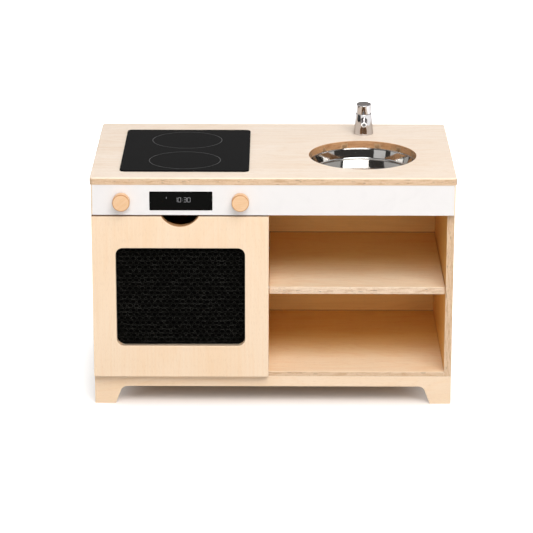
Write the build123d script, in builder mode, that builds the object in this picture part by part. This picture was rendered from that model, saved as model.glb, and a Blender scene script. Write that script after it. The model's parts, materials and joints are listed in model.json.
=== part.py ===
from build123d import *
from math import pi
import os

# Toy kitchen of birch plywood: hob and oven on the left, sink and shelves on the right.
# Millimetres, +Z up, +X to the right, -Y towards the child who plays at it.
# The origin is on the floor, under the middle of the whole object.

os.makedirs("parts", exist_ok=True)

# Sheet materials
panel_thickness = 15.0
back_thickness = 12.0
laminate_thickness = 1.0
edge_easing = 0.8

# Worktop
worktop_width = 740.0
worktop_height = 490.0
worktop_edge_radius = 3.0
worktop_corner_radius = 8.0
side_overhang = 2.0
rear_overhang = 10.0
nose_overhang = 1.0

# Carcass
carcass_depth = 392.0
oven_bay_width = 329.0
plinth_height = 60.0
plinth_rebate = 5.0
rebate_clearance = 0.2
foot_width = 43.0
foot_slope = 14.5
arch_height = 37.5
arch_radius = 14.0
shelf_top_height = 251.0
shelf_setback = 10.0
shelf_end_gap = 1.0

# Fascia rail, clock panel and knobs
fascia_height = 63.0
fascia_end_radius = 3.0
display_width = 127.2
display_height = 39.4
display_thickness = 3.0
display_proud = 0.5
display_corner_radius = 1.5
display_edge_bevel = 0.25
glue_gap = 0.1
knob_spacing = 240.0
controls_offset = 2.3
controls_drop = 2.0
knob_radius = 17.5
knob_thickness = 16.4
knob_edge_radius = 1.2
knob_gap = 1.6
knob_socket_depth = 12.0
spindle_radius = 3.0
spindle_tail = 2.0
thread_chamfer = 0.5
bush_wall = 2.0
bush_flange_radius = 8.0
bush_flange_thickness = 1.2
nut_radius = 5.7
nut_thickness = 5.0
nut_gap = 0.4
running_clearance = 0.05

# Hob panel
hob_width = 263.0
hob_depth = 322.0
hob_front_margin = 44.0
hob_left_margin = 58.0
hob_thickness = 3.0
hob_corner_radius = 11.0
hob_edge_radius = 1.0

# Oven door
door_gap = 1.2
door_top_gap = 3.5
door_bottom_gap = 4.5
notch_width = 75.0
notch_depth = 21.0
window_side_margin = 48.0
window_end_margin = 67.0
window_corner_radius = 15.0
mesh_thickness = 2.0
mesh_border = 14.0
mesh_columns = 17
mesh_rows = 16
mesh_strand = 4.0
frame_width = 16.0
frame_thickness = 6.0
frame_corner_radius = 6.0

# Door hinges
hinge_spacing = 220.0
hinge_length = 40.0
hinge_middle_length = 19.0
hinge_axial_gap = 0.4
hinge_pin_radius = 1.0
hinge_knuckle_radius = 2.5
hinge_leaf_thickness = 0.8
hinge_stop_gap = 0.3
hinge_pocket_clearance = 0.5
door_leaf_rise = 7.5
door_leaf_height = 14.0
carcass_leaf_depth = 16.0

# Door catch
magnet_radius = 5.0
magnet_depth = 4.0
magnet_drop = 14.0
strike_radius = 6.0
strike_thickness = 1.0

# Sink bowl
sink_center_depth = 177.0
sink_cutout_radius = 111.0
bowl_mouth_radius = 113.0
bowl_sheet = 1.0
bowl_flange_width = 11.0
bowl_depth = 23.0
bowl_taper = 6.0
bowl_bottom_radius = 4.0
bowl_bend_radius = 2.0
sink_screw_count = 6

# Push tap
tap_side_offset = 7.0
tap_center_depth = 350.0
tap_base_radius = 20.5
tap_base_lip = 2.0
tap_shoulder_radius = 16.8
tap_body_height = 44.5
tap_cap_radius = 15.6
tap_cap_height = 22.0
tap_cap_skirt = 10.0
tap_cap_wall = 2.0
tap_cap_crown = 3.0
tap_cap_edge_radius = 1.2
tap_travel = 6.0
tap_spring_room = 10.5
spout_root_radius = 8.5
spout_tip_radius = 6.4
spout_root_height = 34.0
spout_tip_height = 27.0
spout_reach = 34.0
spout_root_reach = 6.0
aerator_radius = 4.4
aerator_bore = 2.6
aerator_length = 5.0
spring_radius = 10.5
spring_wire_radius = 0.8
spring_turns = 6
spring_seat_gap = 0.2
stud_radius = 6.0
stud_socket_depth = 12.0
stud_hole_clearance = 0.5
tap_washer_radius = 16.0
tap_washer_thickness = 1.5
tap_nut_radius = 11.0
tap_nut_thickness = 7.0
stud_tail = 3.0

# Fasteners
dowel_radius = 3.0
dowel_length = 30.0
dowel_face_depth = 9.0
dowel_inset = 50.0
dowel_play = 0.1
dowel_end_play = 0.5
shelf_pin_radius = 2.5
shelf_pin_length = 20.0
shelf_pin_depth = 10.0
shelf_pin_inset = 60.0
screw_radius = 1.75
screw_play = 0.05
back_screw_length = 34.0
back_screw_head_radius = 3.6
back_screw_inset = 30.0
sink_screw_length = 10.0
sink_screw_head_radius = 3.2
sink_screw_head = 2.0
frame_screw_length = 14.0
hinge_screw_radius = 1.2
hinge_screw_length = 9.0
hinge_screw_head_radius = 2.2
hinge_screw_spacing = 26.0

# Levels and faces that the pieces share
carcass_width = worktop_width - 2 * side_overhang
worktop_underside = worktop_height - panel_thickness
fascia_thickness = panel_thickness + laminate_thickness
knob_projection = knob_gap + knob_thickness
overall_depth = knob_projection + fascia_thickness + carcass_depth + back_thickness + rear_overhang
fascia_front = -overall_depth / 2 + knob_projection
carcass_front = fascia_front + fascia_thickness
carcass_back = carcass_front + carcass_depth
worktop_front = fascia_front - nose_overhang
worktop_back = carcass_back + back_thickness + rear_overhang
side_outer = carcass_width / 2
side_inner = side_outer - panel_thickness
divider_left = -side_inner + oven_bay_width
divider_right = divider_left + panel_thickness
upright_centers = [-side_outer + panel_thickness / 2, divider_left + panel_thickness / 2,
                   side_outer - panel_thickness / 2]
bottom_top = plinth_height + panel_thickness - plinth_rebate
bottom_joint = (plinth_height + bottom_top) / 2
fascia_bottom = worktop_underside - fascia_height
fascia_middle = worktop_underside - fascia_height / 2
oven_center = (-side_outer + divider_right) / 2
controls_center = oven_center + controls_offset
controls_height = fascia_middle - controls_drop
bay_center = (divider_right + side_inner) / 2
sink_center = (worktop_width / 4, fascia_front + sink_center_depth)
hob_center = (-worktop_width / 2 + hob_left_margin + hob_width / 2,
              fascia_front + hob_front_margin + hob_depth / 2)
tap_center = (sink_center[0] + tap_side_offset, fascia_front + tap_center_depth)
door_width = divider_right + side_outer
door_bottom = plinth_height + door_bottom_gap
door_top = fascia_bottom - door_top_gap
door_back = carcass_front - door_gap
door_middle = (door_bottom + door_top) / 2
window_width = door_width - 2 * window_side_margin
window_height = door_top - door_bottom - 2 * window_end_margin
front_dowel = carcass_front + dowel_inset
back_dowel = carcass_back - dowel_inset
knob_centers = {"left": controls_center - knob_spacing / 2, "right": controls_center + knob_spacing / 2}
hinge_centers = {"left": oven_center - hinge_spacing / 2, "right": oven_center + hinge_spacing / 2}
shelf_underside = shelf_top_height - panel_thickness


# Ways in which a shape sits on the point where it is placed
above = (Align.CENTER, Align.CENTER, Align.MIN)
below = (Align.CENTER, Align.CENTER, Align.MAX)
behind = (Align.CENTER, Align.MIN, Align.MIN)


def upright_plane(y):
    """Upright plane that faces the player, with X to the right and Z up in it."""
    return Plane(origin=(0, y, 0), x_dir=(1, 0, 0), z_dir=(0, -1, 0))


def drill(points, direction, radius, depth):
    """Bore straight blind holes into the part being built."""
    for point in points:
        with Locations(Plane(origin=point, z_dir=direction)):
            Cylinder(radius, depth, align=above, mode=Mode.SUBTRACT)


def peg(points, direction, radius, length):
    """Add straight round pegs that start at each point."""
    for point in points:
        with Locations(Plane(origin=point, z_dir=direction)):
            Cylinder(radius, length, align=above)


def countersink(points, direction, head_radius, shank_radius, length):
    """Cut holes for countersunk screws whose heads lie flush at each point."""
    for point in points:
        with Locations(Plane(origin=point, z_dir=direction)):
            Cylinder(shank_radius + screw_play, length + screw_play,
                     align=above, mode=Mode.SUBTRACT)
            Cone(head_radius + screw_play, shank_radius + screw_play, head_radius - shank_radius,
                 align=above, mode=Mode.SUBTRACT)


def flush_screws(points, direction, head_radius, shank_radius, length):
    """Add countersunk screws with their flat heads at each point."""
    for point in points:
        with Locations(Plane(origin=point, z_dir=direction)):
            Cylinder(shank_radius, length, align=above)
            Cone(head_radius, shank_radius, head_radius - shank_radius,
                 align=above)


def save(builder, name):
    """Label a finished piece and write it as its own file."""
    builder.part.label = name
    export_step(builder.part, f"parts/{name}.step")


# Places of the fasteners, each with the way it points from the face that it enters
top_dowels = [(x, y, worktop_underside) for x in upright_centers for y in (front_dowel, back_dowel)]
bottom_dowels_left = [(-side_inner, y, bottom_joint) for y in (front_dowel, back_dowel)]
bottom_dowels_right = [(side_inner, y, bottom_joint) for y in (front_dowel, back_dowel)]
divider_dowels = [(upright_centers[1], y, bottom_top) for y in (front_dowel, back_dowel)]
plinth_middles = (carcass_front + panel_thickness / 2, carcass_back - panel_thickness / 2)
plinth_dowels = [(x, y, plinth_height)
                 for x in (upright_centers[0], upright_centers[2]) for y in plinth_middles]
fascia_dowel_heights = (fascia_bottom + fascia_height / 4, worktop_underside - fascia_height / 4)
fascia_dowels = [(x, carcass_front, z) for x in upright_centers for z in fascia_dowel_heights]
dowel_end_depth = dowel_length - dowel_face_depth
dowel_hole = dowel_radius + dowel_play
face_hole_depth = dowel_face_depth + dowel_end_play
end_hole_depth = dowel_end_depth + dowel_end_play
magnet_height = door_top - magnet_drop
magnet_places = [(x, carcass_front, magnet_height) for x in upright_centers[:2]]
back_face = carcass_back + back_thickness
back_screw_heights = (bottom_top + back_screw_inset, (bottom_top + worktop_underside) / 2,
                      worktop_underside - back_screw_inset)
back_upright_screws = [(x, back_face, z) for x in upright_centers for z in back_screw_heights]
back_bottom_screws = [(x, back_face, bottom_joint) for x in (oven_center, bay_center)]
shelf_pin_height = shelf_underside - shelf_pin_radius
shelf_pin_depths = (carcass_front + shelf_pin_inset, carcass_back - shelf_pin_inset)
shelf_pins_left = [(divider_right, y, shelf_pin_height) for y in shelf_pin_depths]
shelf_pins_right = [(side_inner, y, shelf_pin_height) for y in shelf_pin_depths]
sink_screw_circle = bowl_mouth_radius + bowl_flange_width / 2 + bowl_sheet / 2
sink_screw_places = [(sink_center[0] + place.position.X, sink_center[1] + place.position.Y, worktop_underside)
                     for place in PolarLocations(sink_screw_circle, sink_screw_count).local_locations]
left = (-1, 0, 0)
right = (1, 0, 0)
up = (0, 0, 1)
down = (0, 0, -1)
forward = (0, -1, 0)
backward = (0, 1, 0)

# Uprights of the carcass
with BuildPart() as left_side:
    with BuildSketch(Plane.YZ.offset(-side_outer)):
        with Locations((carcass_front, plinth_height)):
            Rectangle(carcass_depth, worktop_underside - plinth_height, align=Align.MIN)
    extrude(amount=panel_thickness)
    fillet(left_side.edges(), edge_easing)
    drill(top_dowels[:2], down, dowel_hole, end_hole_depth)
    drill(plinth_dowels[:2], up, dowel_hole, dowel_length / 2 + dowel_end_play)
    drill(fascia_dowels[:2], backward, dowel_hole, end_hole_depth)
    drill(bottom_dowels_left, left, dowel_hole, face_hole_depth)
    drill(magnet_places[:1], backward, magnet_radius + screw_play, magnet_depth)
    drill(back_upright_screws[:3], forward, screw_radius + screw_play, back_screw_length + screw_play)
save(left_side, "left_side")

with BuildPart() as right_side:
    with BuildSketch(Plane.YZ.offset(side_inner)):
        with Locations((carcass_front, plinth_height)):
            Rectangle(carcass_depth, worktop_underside - plinth_height, align=Align.MIN)
    extrude(amount=panel_thickness)
    fillet(right_side.edges(), edge_easing)
    drill(top_dowels[4:], down, dowel_hole, end_hole_depth)
    drill(plinth_dowels[2:], up, dowel_hole, dowel_length / 2 + dowel_end_play)
    drill(fascia_dowels[4:], backward, dowel_hole, end_hole_depth)
    drill(bottom_dowels_right, right, dowel_hole, face_hole_depth)
    drill(shelf_pins_right, right, shelf_pin_radius + screw_play, shelf_pin_depth)
    drill(back_upright_screws[6:], forward, screw_radius + screw_play, back_screw_length + screw_play)
save(right_side, "right_side")

with BuildPart() as divider:
    with BuildSketch(Plane.YZ.offset(divider_left)):
        with Locations((carcass_front, bottom_top)):
            Rectangle(carcass_depth, worktop_underside - bottom_top, align=Align.MIN)
    extrude(amount=panel_thickness)
    fillet(divider.edges(), edge_easing)
    drill(top_dowels[2:4], down, dowel_hole, end_hole_depth)
    drill(divider_dowels, up, dowel_hole, end_hole_depth)
    drill(fascia_dowels[2:4], backward, dowel_hole, end_hole_depth)
    drill(shelf_pins_left, left, shelf_pin_radius + screw_play, shelf_pin_depth)
    drill(magnet_places[1:], backward, magnet_radius + screw_play, magnet_depth)
    drill(back_upright_screws[3:6], forward, screw_radius + screw_play, back_screw_length + screw_play)
save(divider, "divider")

# Hinge geometry: the pin lies under the door's lower back edge, so the open door bears on the carcass
hinge_axis_y = carcass_front - hinge_stop_gap
hinge_axis_z = door_bottom
pocket = hinge_knuckle_radius + hinge_pocket_clearance
hinge_outer_length = (hinge_length - hinge_middle_length) / 2 - hinge_axial_gap
leaf_top = bottom_top + hinge_leaf_thickness
carcass_leaf_screw_y = carcass_front + carcass_leaf_depth / 2
door_leaf_bottom = door_bottom + door_leaf_rise
door_leaf_screw_z = door_leaf_bottom + door_leaf_height / 2
hinge_screw = (hinge_screw_head_radius, hinge_screw_radius, hinge_screw_length)
hinge_screw_sides = (-hinge_screw_spacing / 2, hinge_screw_spacing / 2)
hinge_carcass_screw_places = [(x + side, carcass_leaf_screw_y, leaf_top)
                              for x in hinge_centers.values() for side in hinge_screw_sides]
door_leaf_back = door_back + hinge_leaf_thickness
hinge_door_screw_places = [(x + side, door_leaf_back, door_leaf_screw_z)
                           for x in hinge_centers.values() for side in hinge_screw_sides]

# Bottom panel, rebated over both plinths, with pockets for the hinge knuckles
with BuildPart() as bottom_panel:
    with BuildSketch(Plane.YZ.offset(-side_inner)):
        with BuildLine():
            rebate_front = carcass_front + panel_thickness + rebate_clearance
            rebate_back = carcass_back - panel_thickness - rebate_clearance
            rebate_bottom = plinth_height - plinth_rebate
            Polyline((carcass_front, plinth_height), (rebate_front, plinth_height), (rebate_front, rebate_bottom),
                     (rebate_back, rebate_bottom), (rebate_back, plinth_height), (carcass_back, plinth_height),
                     (carcass_back, bottom_top), (carcass_front, bottom_top), close=True)
        make_face()
    extrude(amount=2 * side_inner)
    front_arris = bottom_panel.edges().filter_by(Axis.X).group_by(Axis.Z)[-1].sort_by(Axis.Y)[0]
    fillet(front_arris, edge_easing)
    for hinge_x in hinge_centers.values():
        with Locations((hinge_x, carcass_front, hinge_axis_z)):
            Box(hinge_length + 2 * hinge_pocket_clearance, 2 * (pocket - hinge_stop_gap), 2 * pocket,
                mode=Mode.SUBTRACT)
    drill(bottom_dowels_left, right, dowel_hole, end_hole_depth)
    drill(bottom_dowels_right, left, dowel_hole, end_hole_depth)
    drill(divider_dowels, down, dowel_hole, face_hole_depth)
    drill(back_bottom_screws, forward, screw_radius + screw_play, back_screw_length + screw_play)
    countersink(hinge_carcass_screw_places, down, *hinge_screw)
save(bottom_panel, "bottom_panel")

# Back panel over the rear edges of the uprights
with BuildPart() as back_panel:
    with BuildSketch(upright_plane(back_face)):
        with Locations((0, plinth_height)):
            Rectangle(carcass_width, worktop_underside - plinth_height, align=(Align.CENTER, Align.MIN))
    extrude(amount=back_thickness)
    fillet(back_panel.edges().filter_by(Axis.Y, reverse=True).group_by(Axis.Y)[-1], edge_easing)
    countersink(back_upright_screws + back_bottom_screws, forward, back_screw_head_radius, screw_radius,
                back_screw_length)
save(back_panel, "back_panel")

# Shelf, loose on four pins
with BuildPart() as shelf:
    with BuildSketch(Plane.XY.offset(shelf_underside)):
        with Locations((bay_center, carcass_front + shelf_setback)):
            Rectangle(side_inner - divider_right - 2 * shelf_end_gap,
                      carcass_depth - shelf_setback - shelf_end_gap / 2, align=(Align.CENTER, Align.MIN))
    extrude(amount=panel_thickness)
    fillet(shelf.edges(), edge_easing)
save(shelf, "shelf")

# Plinths, cut out to two feet each
plinth_fronts = {"front_plinth": carcass_front, "rear_plinth": carcass_back - panel_thickness}
for plinth_name, plinth_y in plinth_fronts.items():
    with BuildPart() as plinth:
        with BuildSketch(upright_plane(plinth_y + panel_thickness)):
            with Locations((0, plinth_height / 2)):
                Rectangle(carcass_width, plinth_height)
            with BuildLine():
                foot_inner = side_outer - foot_width
                Polyline((-foot_inner, 0), (-foot_inner + foot_slope, arch_height),
                         (foot_inner - foot_slope, arch_height), (foot_inner, 0), close=True)
            make_face(mode=Mode.SUBTRACT)
        extrude(amount=panel_thickness)
        arch_corners = plinth.edges().filter_by(Axis.Y).group_by(Axis.Z)[1]
        fillet(arch_corners, arch_radius)
        fillet(plinth.edges().filter_by(Axis.Y, reverse=True).group_by(Axis.Y)[0], edge_easing)
        drill([place for place in plinth_dowels if plinth_y < place[1] < plinth_y + panel_thickness], down,
              dowel_hole, dowel_length / 2 + dowel_end_play)
    save(plinth, plinth_name)

# Worktop with the sink cut-out and the tap's hole
with BuildPart() as worktop:
    with BuildSketch(Plane.XY.offset(worktop_underside)):
        with Locations((0, (worktop_front + worktop_back) / 2)):
            RectangleRounded(worktop_width, worktop_back - worktop_front, worktop_corner_radius)
        with Locations(sink_center):
            Circle(sink_cutout_radius, mode=Mode.SUBTRACT)
    extrude(amount=panel_thickness)
    fillet(worktop.faces().sort_by(Axis.Z)[-1].outer_wire().edges(), worktop_edge_radius)
    fillet(worktop.faces().sort_by(Axis.Z)[0].outer_wire().edges(), edge_easing)
    cutout_edges = worktop.edges().filter_by(GeomType.CIRCLE).group_by(SortBy.RADIUS)[-1]
    fillet(cutout_edges.group_by(Axis.Z)[-1], edge_easing)
    with Locations((tap_center[0], tap_center[1], worktop_height)):
        Hole(stud_radius + stud_hole_clearance, panel_thickness)
    drill(top_dowels, up, dowel_hole, face_hole_depth)
    drill(sink_screw_places, up, screw_radius + screw_play, sink_screw_length + screw_play)
save(worktop, "worktop")

# Fascia board across the front, and the white laminate on its face
knob_places = [(x, controls_height) for x in knob_centers.values()]
bush_radius = spindle_radius + running_clearance + bush_wall
display_recess = display_thickness - display_proud - laminate_thickness
display_opening = (display_width + 2 * glue_gap, display_height + 2 * glue_gap, display_corner_radius)
with BuildPart() as fascia_board:
    with BuildSketch(upright_plane(carcass_front)):
        with Locations((0, fascia_middle)):
            Rectangle(carcass_width, fascia_height)
        with Locations(*knob_places):
            Circle(bush_radius + running_clearance, mode=Mode.SUBTRACT)
    extrude(amount=panel_thickness)
    end_arrises = fascia_board.edges().filter_by(Axis.Z).group_by(Axis.Y)[0]
    fillet(end_arrises, fascia_end_radius)
    with BuildSketch(upright_plane(fascia_front + laminate_thickness)):
        with Locations((controls_center, controls_height)):
            RectangleRounded(*display_opening)
    extrude(amount=-display_recess, mode=Mode.SUBTRACT)
    drill(fascia_dowels, forward, dowel_hole, face_hole_depth)
save(fascia_board, "fascia_board")

with BuildPart() as fascia_laminate:
    with BuildSketch(upright_plane(fascia_front + laminate_thickness)):
        with Locations((0, fascia_middle)):
            Rectangle(carcass_width - 2 * fascia_end_radius, fascia_height)
        with Locations((controls_center, controls_height)):
            RectangleRounded(*display_opening, mode=Mode.SUBTRACT)
        with Locations(*knob_places):
            Circle(bush_radius + running_clearance, mode=Mode.SUBTRACT)
    extrude(amount=laminate_thickness)
save(fascia_laminate, "fascia_laminate")

with BuildPart() as display_panel:
    with BuildSketch(upright_plane(fascia_front - display_proud + display_thickness)):
        with Locations((controls_center, controls_height)):
            RectangleRounded(display_width, display_height, display_corner_radius)
    extrude(amount=display_thickness)
    chamfer(display_panel.faces().sort_by(Axis.Y)[0].edges(), display_edge_bevel)
save(display_panel, "display_panel")

# Hob panel, bonded to the worktop
with BuildPart() as hob_panel:
    with BuildSketch(Plane.XY.offset(worktop_height)):
        with Locations(hob_center):
            RectangleRounded(hob_width, hob_depth, hob_corner_radius)
    extrude(amount=hob_thickness)
    fillet(hob_panel.faces().sort_by(Axis.Z)[-1].edges(), hob_edge_radius)
save(hob_panel, "hob_panel")

# Knobs: turned wood on a steel spindle that runs in a bush and is held by a lock nut
knob_back = fascia_front - knob_gap
knob_front = knob_back - knob_thickness
spindle_start = knob_back - knob_socket_depth
spindle_length = carcass_front + nut_gap + nut_thickness + spindle_tail - spindle_start
for side, knob_x in knob_centers.items():
    with BuildPart() as knob:
        with BuildSketch(upright_plane(knob_back)):
            with Locations((knob_x, controls_height)):
                Circle(knob_radius)
        extrude(amount=knob_thickness)
        fillet(knob.edges().sort_by(Axis.Y)[0], knob_edge_radius)
        fillet(knob.edges().sort_by(Axis.Y)[-1], edge_easing)
        drill([(knob_x, knob_back, controls_height)], forward, spindle_radius + running_clearance,
              knob_socket_depth)
    save(knob, f"knob_{side}")

    with BuildPart() as spindle:
        peg([(knob_x, spindle_start, controls_height)], backward, spindle_radius, spindle_length)
        chamfer(spindle.edges().sort_by(Axis.Y)[-1], thread_chamfer)
    save(spindle, f"knob_{side}_spindle")

    with BuildPart() as nut:
        with BuildSketch(upright_plane(carcass_front + nut_gap + nut_thickness)):
            with Locations((knob_x, controls_height)):
                RegularPolygon(nut_radius, 6)
                Circle(spindle_radius + running_clearance, mode=Mode.SUBTRACT)
        extrude(amount=nut_thickness)
    save(nut, f"knob_{side}_nut")

with BuildPart() as knob_bushes:
    for knob_x in knob_centers.values():
        peg([(knob_x, fascia_front, controls_height)], backward, bush_radius, fascia_thickness)
        peg([(knob_x, fascia_front - bush_flange_thickness, controls_height)], backward, bush_flange_radius,
            bush_flange_thickness)
        drill([(knob_x, fascia_front - bush_flange_thickness, controls_height)], backward,
              spindle_radius + running_clearance, fascia_thickness + bush_flange_thickness)
save(knob_bushes, "knob_bushes")

# Oven door with its window, finger notch and hinge pockets
notch_radius = ((notch_width / 2) ** 2 + notch_depth ** 2) / (2 * notch_depth)
frame_screw_ring = (window_width / 2 + frame_width / 2, window_height / 2 + frame_width / 2)
frame_face = door_back + mesh_thickness + frame_thickness
frame_screw_places = [(oven_center + across * frame_screw_ring[0], frame_face,
                       door_middle + along * frame_screw_ring[1])
                      for across, along in ((-1, -1), (0, -1), (1, -1), (-1, 0), (1, 0), (-1, 1), (0, 1), (1, 1))]
with BuildPart() as oven_door:
    with BuildSketch(upright_plane(door_back)):
        with Locations((oven_center, door_middle)):
            Rectangle(door_width, door_top - door_bottom)
            RectangleRounded(window_width, window_height, window_corner_radius, mode=Mode.SUBTRACT)
        with Locations((oven_center, door_top - notch_depth + notch_radius)):
            Circle(notch_radius, mode=Mode.SUBTRACT)
    extrude(amount=panel_thickness)
    fillet(oven_door.edges().filter_by(Axis.Y, reverse=True).group_by(Axis.Y)[0], edge_easing)
    for hinge_x in hinge_centers.values():
        with Locations((hinge_x, door_back, hinge_axis_z)):
            Box(hinge_length + 2 * hinge_pocket_clearance,
                2 * (pocket + hinge_stop_gap - door_gap), 2 * pocket, mode=Mode.SUBTRACT)
    countersink(hinge_door_screw_places, forward, *hinge_screw)
    drill(frame_screw_places, forward, screw_radius + screw_play, frame_screw_length + screw_play)
save(oven_door, "oven_door")

# Net behind the window: one sheet with staggered six-sided gaps, bordered where the frame clamps it
mesh_pitch_x = window_width / (mesh_columns + 0.5)
mesh_pitch_z = window_height / mesh_rows
gap_shape = RegularPolygon((mesh_pitch_x - mesh_strand) / 2, 6, major_radius=False, rotation=90)
gap_places = [(oven_center - window_width / 2 + mesh_pitch_x * (column + 0.5 + 0.5 * (row % 2)),
               door_middle - window_height / 2 + mesh_pitch_z * (row + 0.5))
              for row in range(mesh_rows) for column in range(mesh_columns)]
mesh_outline = Rectangle(window_width + 2 * mesh_border, window_height + 2 * mesh_border)
mesh_screw_hole = Circle(screw_radius + screw_play)
mesh_holes = [gap_shape.moved(Location(place)).wire() for place in gap_places]
mesh_holes += [mesh_screw_hole.moved(Location((x, z))).wire() for x, y, z in frame_screw_places]
mesh_face = Face(mesh_outline.moved(Location((oven_center, door_middle))).wire(), mesh_holes)
with BuildPart() as window_mesh:
    with BuildSketch(upright_plane(door_back + mesh_thickness)):
        add(mesh_face, clean=False)
    extrude(amount=mesh_thickness, clean=False)
save(window_mesh, "window_mesh")

with BuildPart() as mesh_frame:
    with BuildSketch(upright_plane(frame_face)):
        with Locations((oven_center, door_middle)):
            RectangleRounded(window_width + 2 * frame_width, window_height + 2 * frame_width,
                             frame_corner_radius)
            RectangleRounded(window_width, window_height, window_corner_radius, mode=Mode.SUBTRACT)
    extrude(amount=frame_thickness)
    fillet(mesh_frame.edges().filter_by(Axis.Y, reverse=True).group_by(Axis.Y)[-1], edge_easing)
    countersink(frame_screw_places, forward, back_screw_head_radius, screw_radius, frame_screw_length)
save(mesh_frame, "mesh_frame")

with BuildPart() as mesh_frame_screws:
    flush_screws(frame_screw_places, forward, back_screw_head_radius, screw_radius, frame_screw_length)
save(mesh_frame_screws, "mesh_frame_screws")

# Butt hinges under the door
finger_start = hinge_pin_radius + running_clearance + hinge_leaf_thickness / 2
for side, hinge_x in hinge_centers.items():
    outer_left = hinge_x - hinge_length / 2
    outer_right = hinge_x + hinge_length / 2 - hinge_outer_length
    middle_left = hinge_x - hinge_middle_length / 2

    with BuildPart() as carcass_leaf:
        for knuckle_x in (outer_left, outer_right):
            peg([(knuckle_x, hinge_axis_y, hinge_axis_z)], right, hinge_knuckle_radius, hinge_outer_length)
            with Locations((knuckle_x, carcass_front - hinge_leaf_thickness, hinge_axis_z + finger_start)):
                Box(hinge_outer_length, hinge_leaf_thickness, leaf_top - hinge_axis_z - finger_start,
                    align=Align.MIN)
            with Locations((knuckle_x, carcass_front - hinge_leaf_thickness, bottom_top)):
                Box(hinge_outer_length, 2 * hinge_leaf_thickness, hinge_leaf_thickness, align=Align.MIN)
        with Locations((hinge_x, carcass_front, bottom_top)):
            Box(hinge_length, carcass_leaf_depth, hinge_leaf_thickness, align=behind)
        drill([(outer_left, hinge_axis_y, hinge_axis_z)], right, hinge_pin_radius + running_clearance,
              hinge_length)
        countersink([place for place in hinge_carcass_screw_places if abs(place[0] - hinge_x) < hinge_length / 2],
                    down, *hinge_screw)
    save(carcass_leaf, f"hinge_{side}_carcass_leaf")

    with BuildPart() as door_leaf:
        peg([(middle_left, hinge_axis_y, hinge_axis_z)], right, hinge_knuckle_radius, hinge_middle_length)
        with Locations((middle_left, door_back, hinge_axis_z + finger_start)):
            Box(hinge_middle_length, hinge_leaf_thickness, door_leaf_rise - finger_start, align=Align.MIN)
        with Locations((hinge_x, door_back, door_leaf_bottom)):
            Box(hinge_length, hinge_leaf_thickness, door_leaf_height, align=behind)
        drill([(middle_left, hinge_axis_y, hinge_axis_z)], right, hinge_pin_radius + running_clearance,
              hinge_middle_length)
        countersink([place for place in hinge_door_screw_places if abs(place[0] - hinge_x) < hinge_length / 2],
                    forward, *hinge_screw)
    save(door_leaf, f"hinge_{side}_door_leaf")

    with BuildPart() as hinge_pin:
        peg([(outer_left, hinge_axis_y, hinge_axis_z)], right, hinge_pin_radius, hinge_length)
    save(hinge_pin, f"hinge_{side}_pin")

with BuildPart() as hinge_carcass_screws:
    flush_screws(hinge_carcass_screw_places, down, *hinge_screw)
save(hinge_carcass_screws, "hinge_carcass_screws")

with BuildPart() as hinge_door_screws:
    flush_screws(hinge_door_screw_places, forward, *hinge_screw)
save(hinge_door_screws, "hinge_door_screws")

# Magnets in the front edges of the oven's uprights, and steel strikes on the door
with BuildPart() as door_magnets:
    peg(magnet_places, backward, magnet_radius, magnet_depth)
save(door_magnets, "door_magnets")

with BuildPart() as door_strikes:
    peg([(x, door_back, z) for x, y, z in magnet_places], backward, strike_radius, strike_thickness)
save(door_strikes, "door_strikes")

# Sink bowl: a shallow pan of spun steel sheet with a flange, a tapered wall and a flat bottom
flange_radius = bowl_mouth_radius + bowl_flange_width
bowl_floor_radius = bowl_mouth_radius - bowl_taper
bowl_bottom = worktop_underside - bowl_depth
sink_plane = Plane(origin=(sink_center[0], sink_center[1], 0), x_dir=(1, 0, 0), z_dir=(0, -1, 0))


def bowl_line(growth):
    """Half profile of the bowl, grown outwards by a sheet thickness."""
    return FilletPolyline((flange_radius, worktop_underside - growth),
                          (bowl_mouth_radius + growth, worktop_underside - growth),
                          (bowl_floor_radius + growth, bowl_bottom - growth),
                          (0, bowl_bottom - growth),
                          radius=[bowl_bend_radius, bowl_bottom_radius])


with BuildPart() as sink_bowl:
    with BuildSketch(sink_plane):
        with BuildLine():
            bowl_line(0)
            bowl_line(bowl_sheet)
            Line((flange_radius, worktop_underside), (flange_radius, worktop_underside - bowl_sheet))
            Line((0, bowl_bottom), (0, bowl_bottom - bowl_sheet))
        make_face()
    revolve(axis=Axis((sink_center[0], sink_center[1], 0), (0, 0, 1)))
    drill(sink_screw_places, down, screw_radius + screw_play, 2 * bowl_sheet)
save(sink_bowl, "sink_bowl")

with BuildPart() as sink_screws:
    sink_screw_seats = [(x, y, z - bowl_sheet) for x, y, z in sink_screw_places]
    peg(sink_screw_seats, up, screw_radius, sink_screw_length + bowl_sheet)
    peg(sink_screw_seats, down, sink_screw_head_radius, sink_screw_head)
save(sink_screws, "sink_screws")

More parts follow.
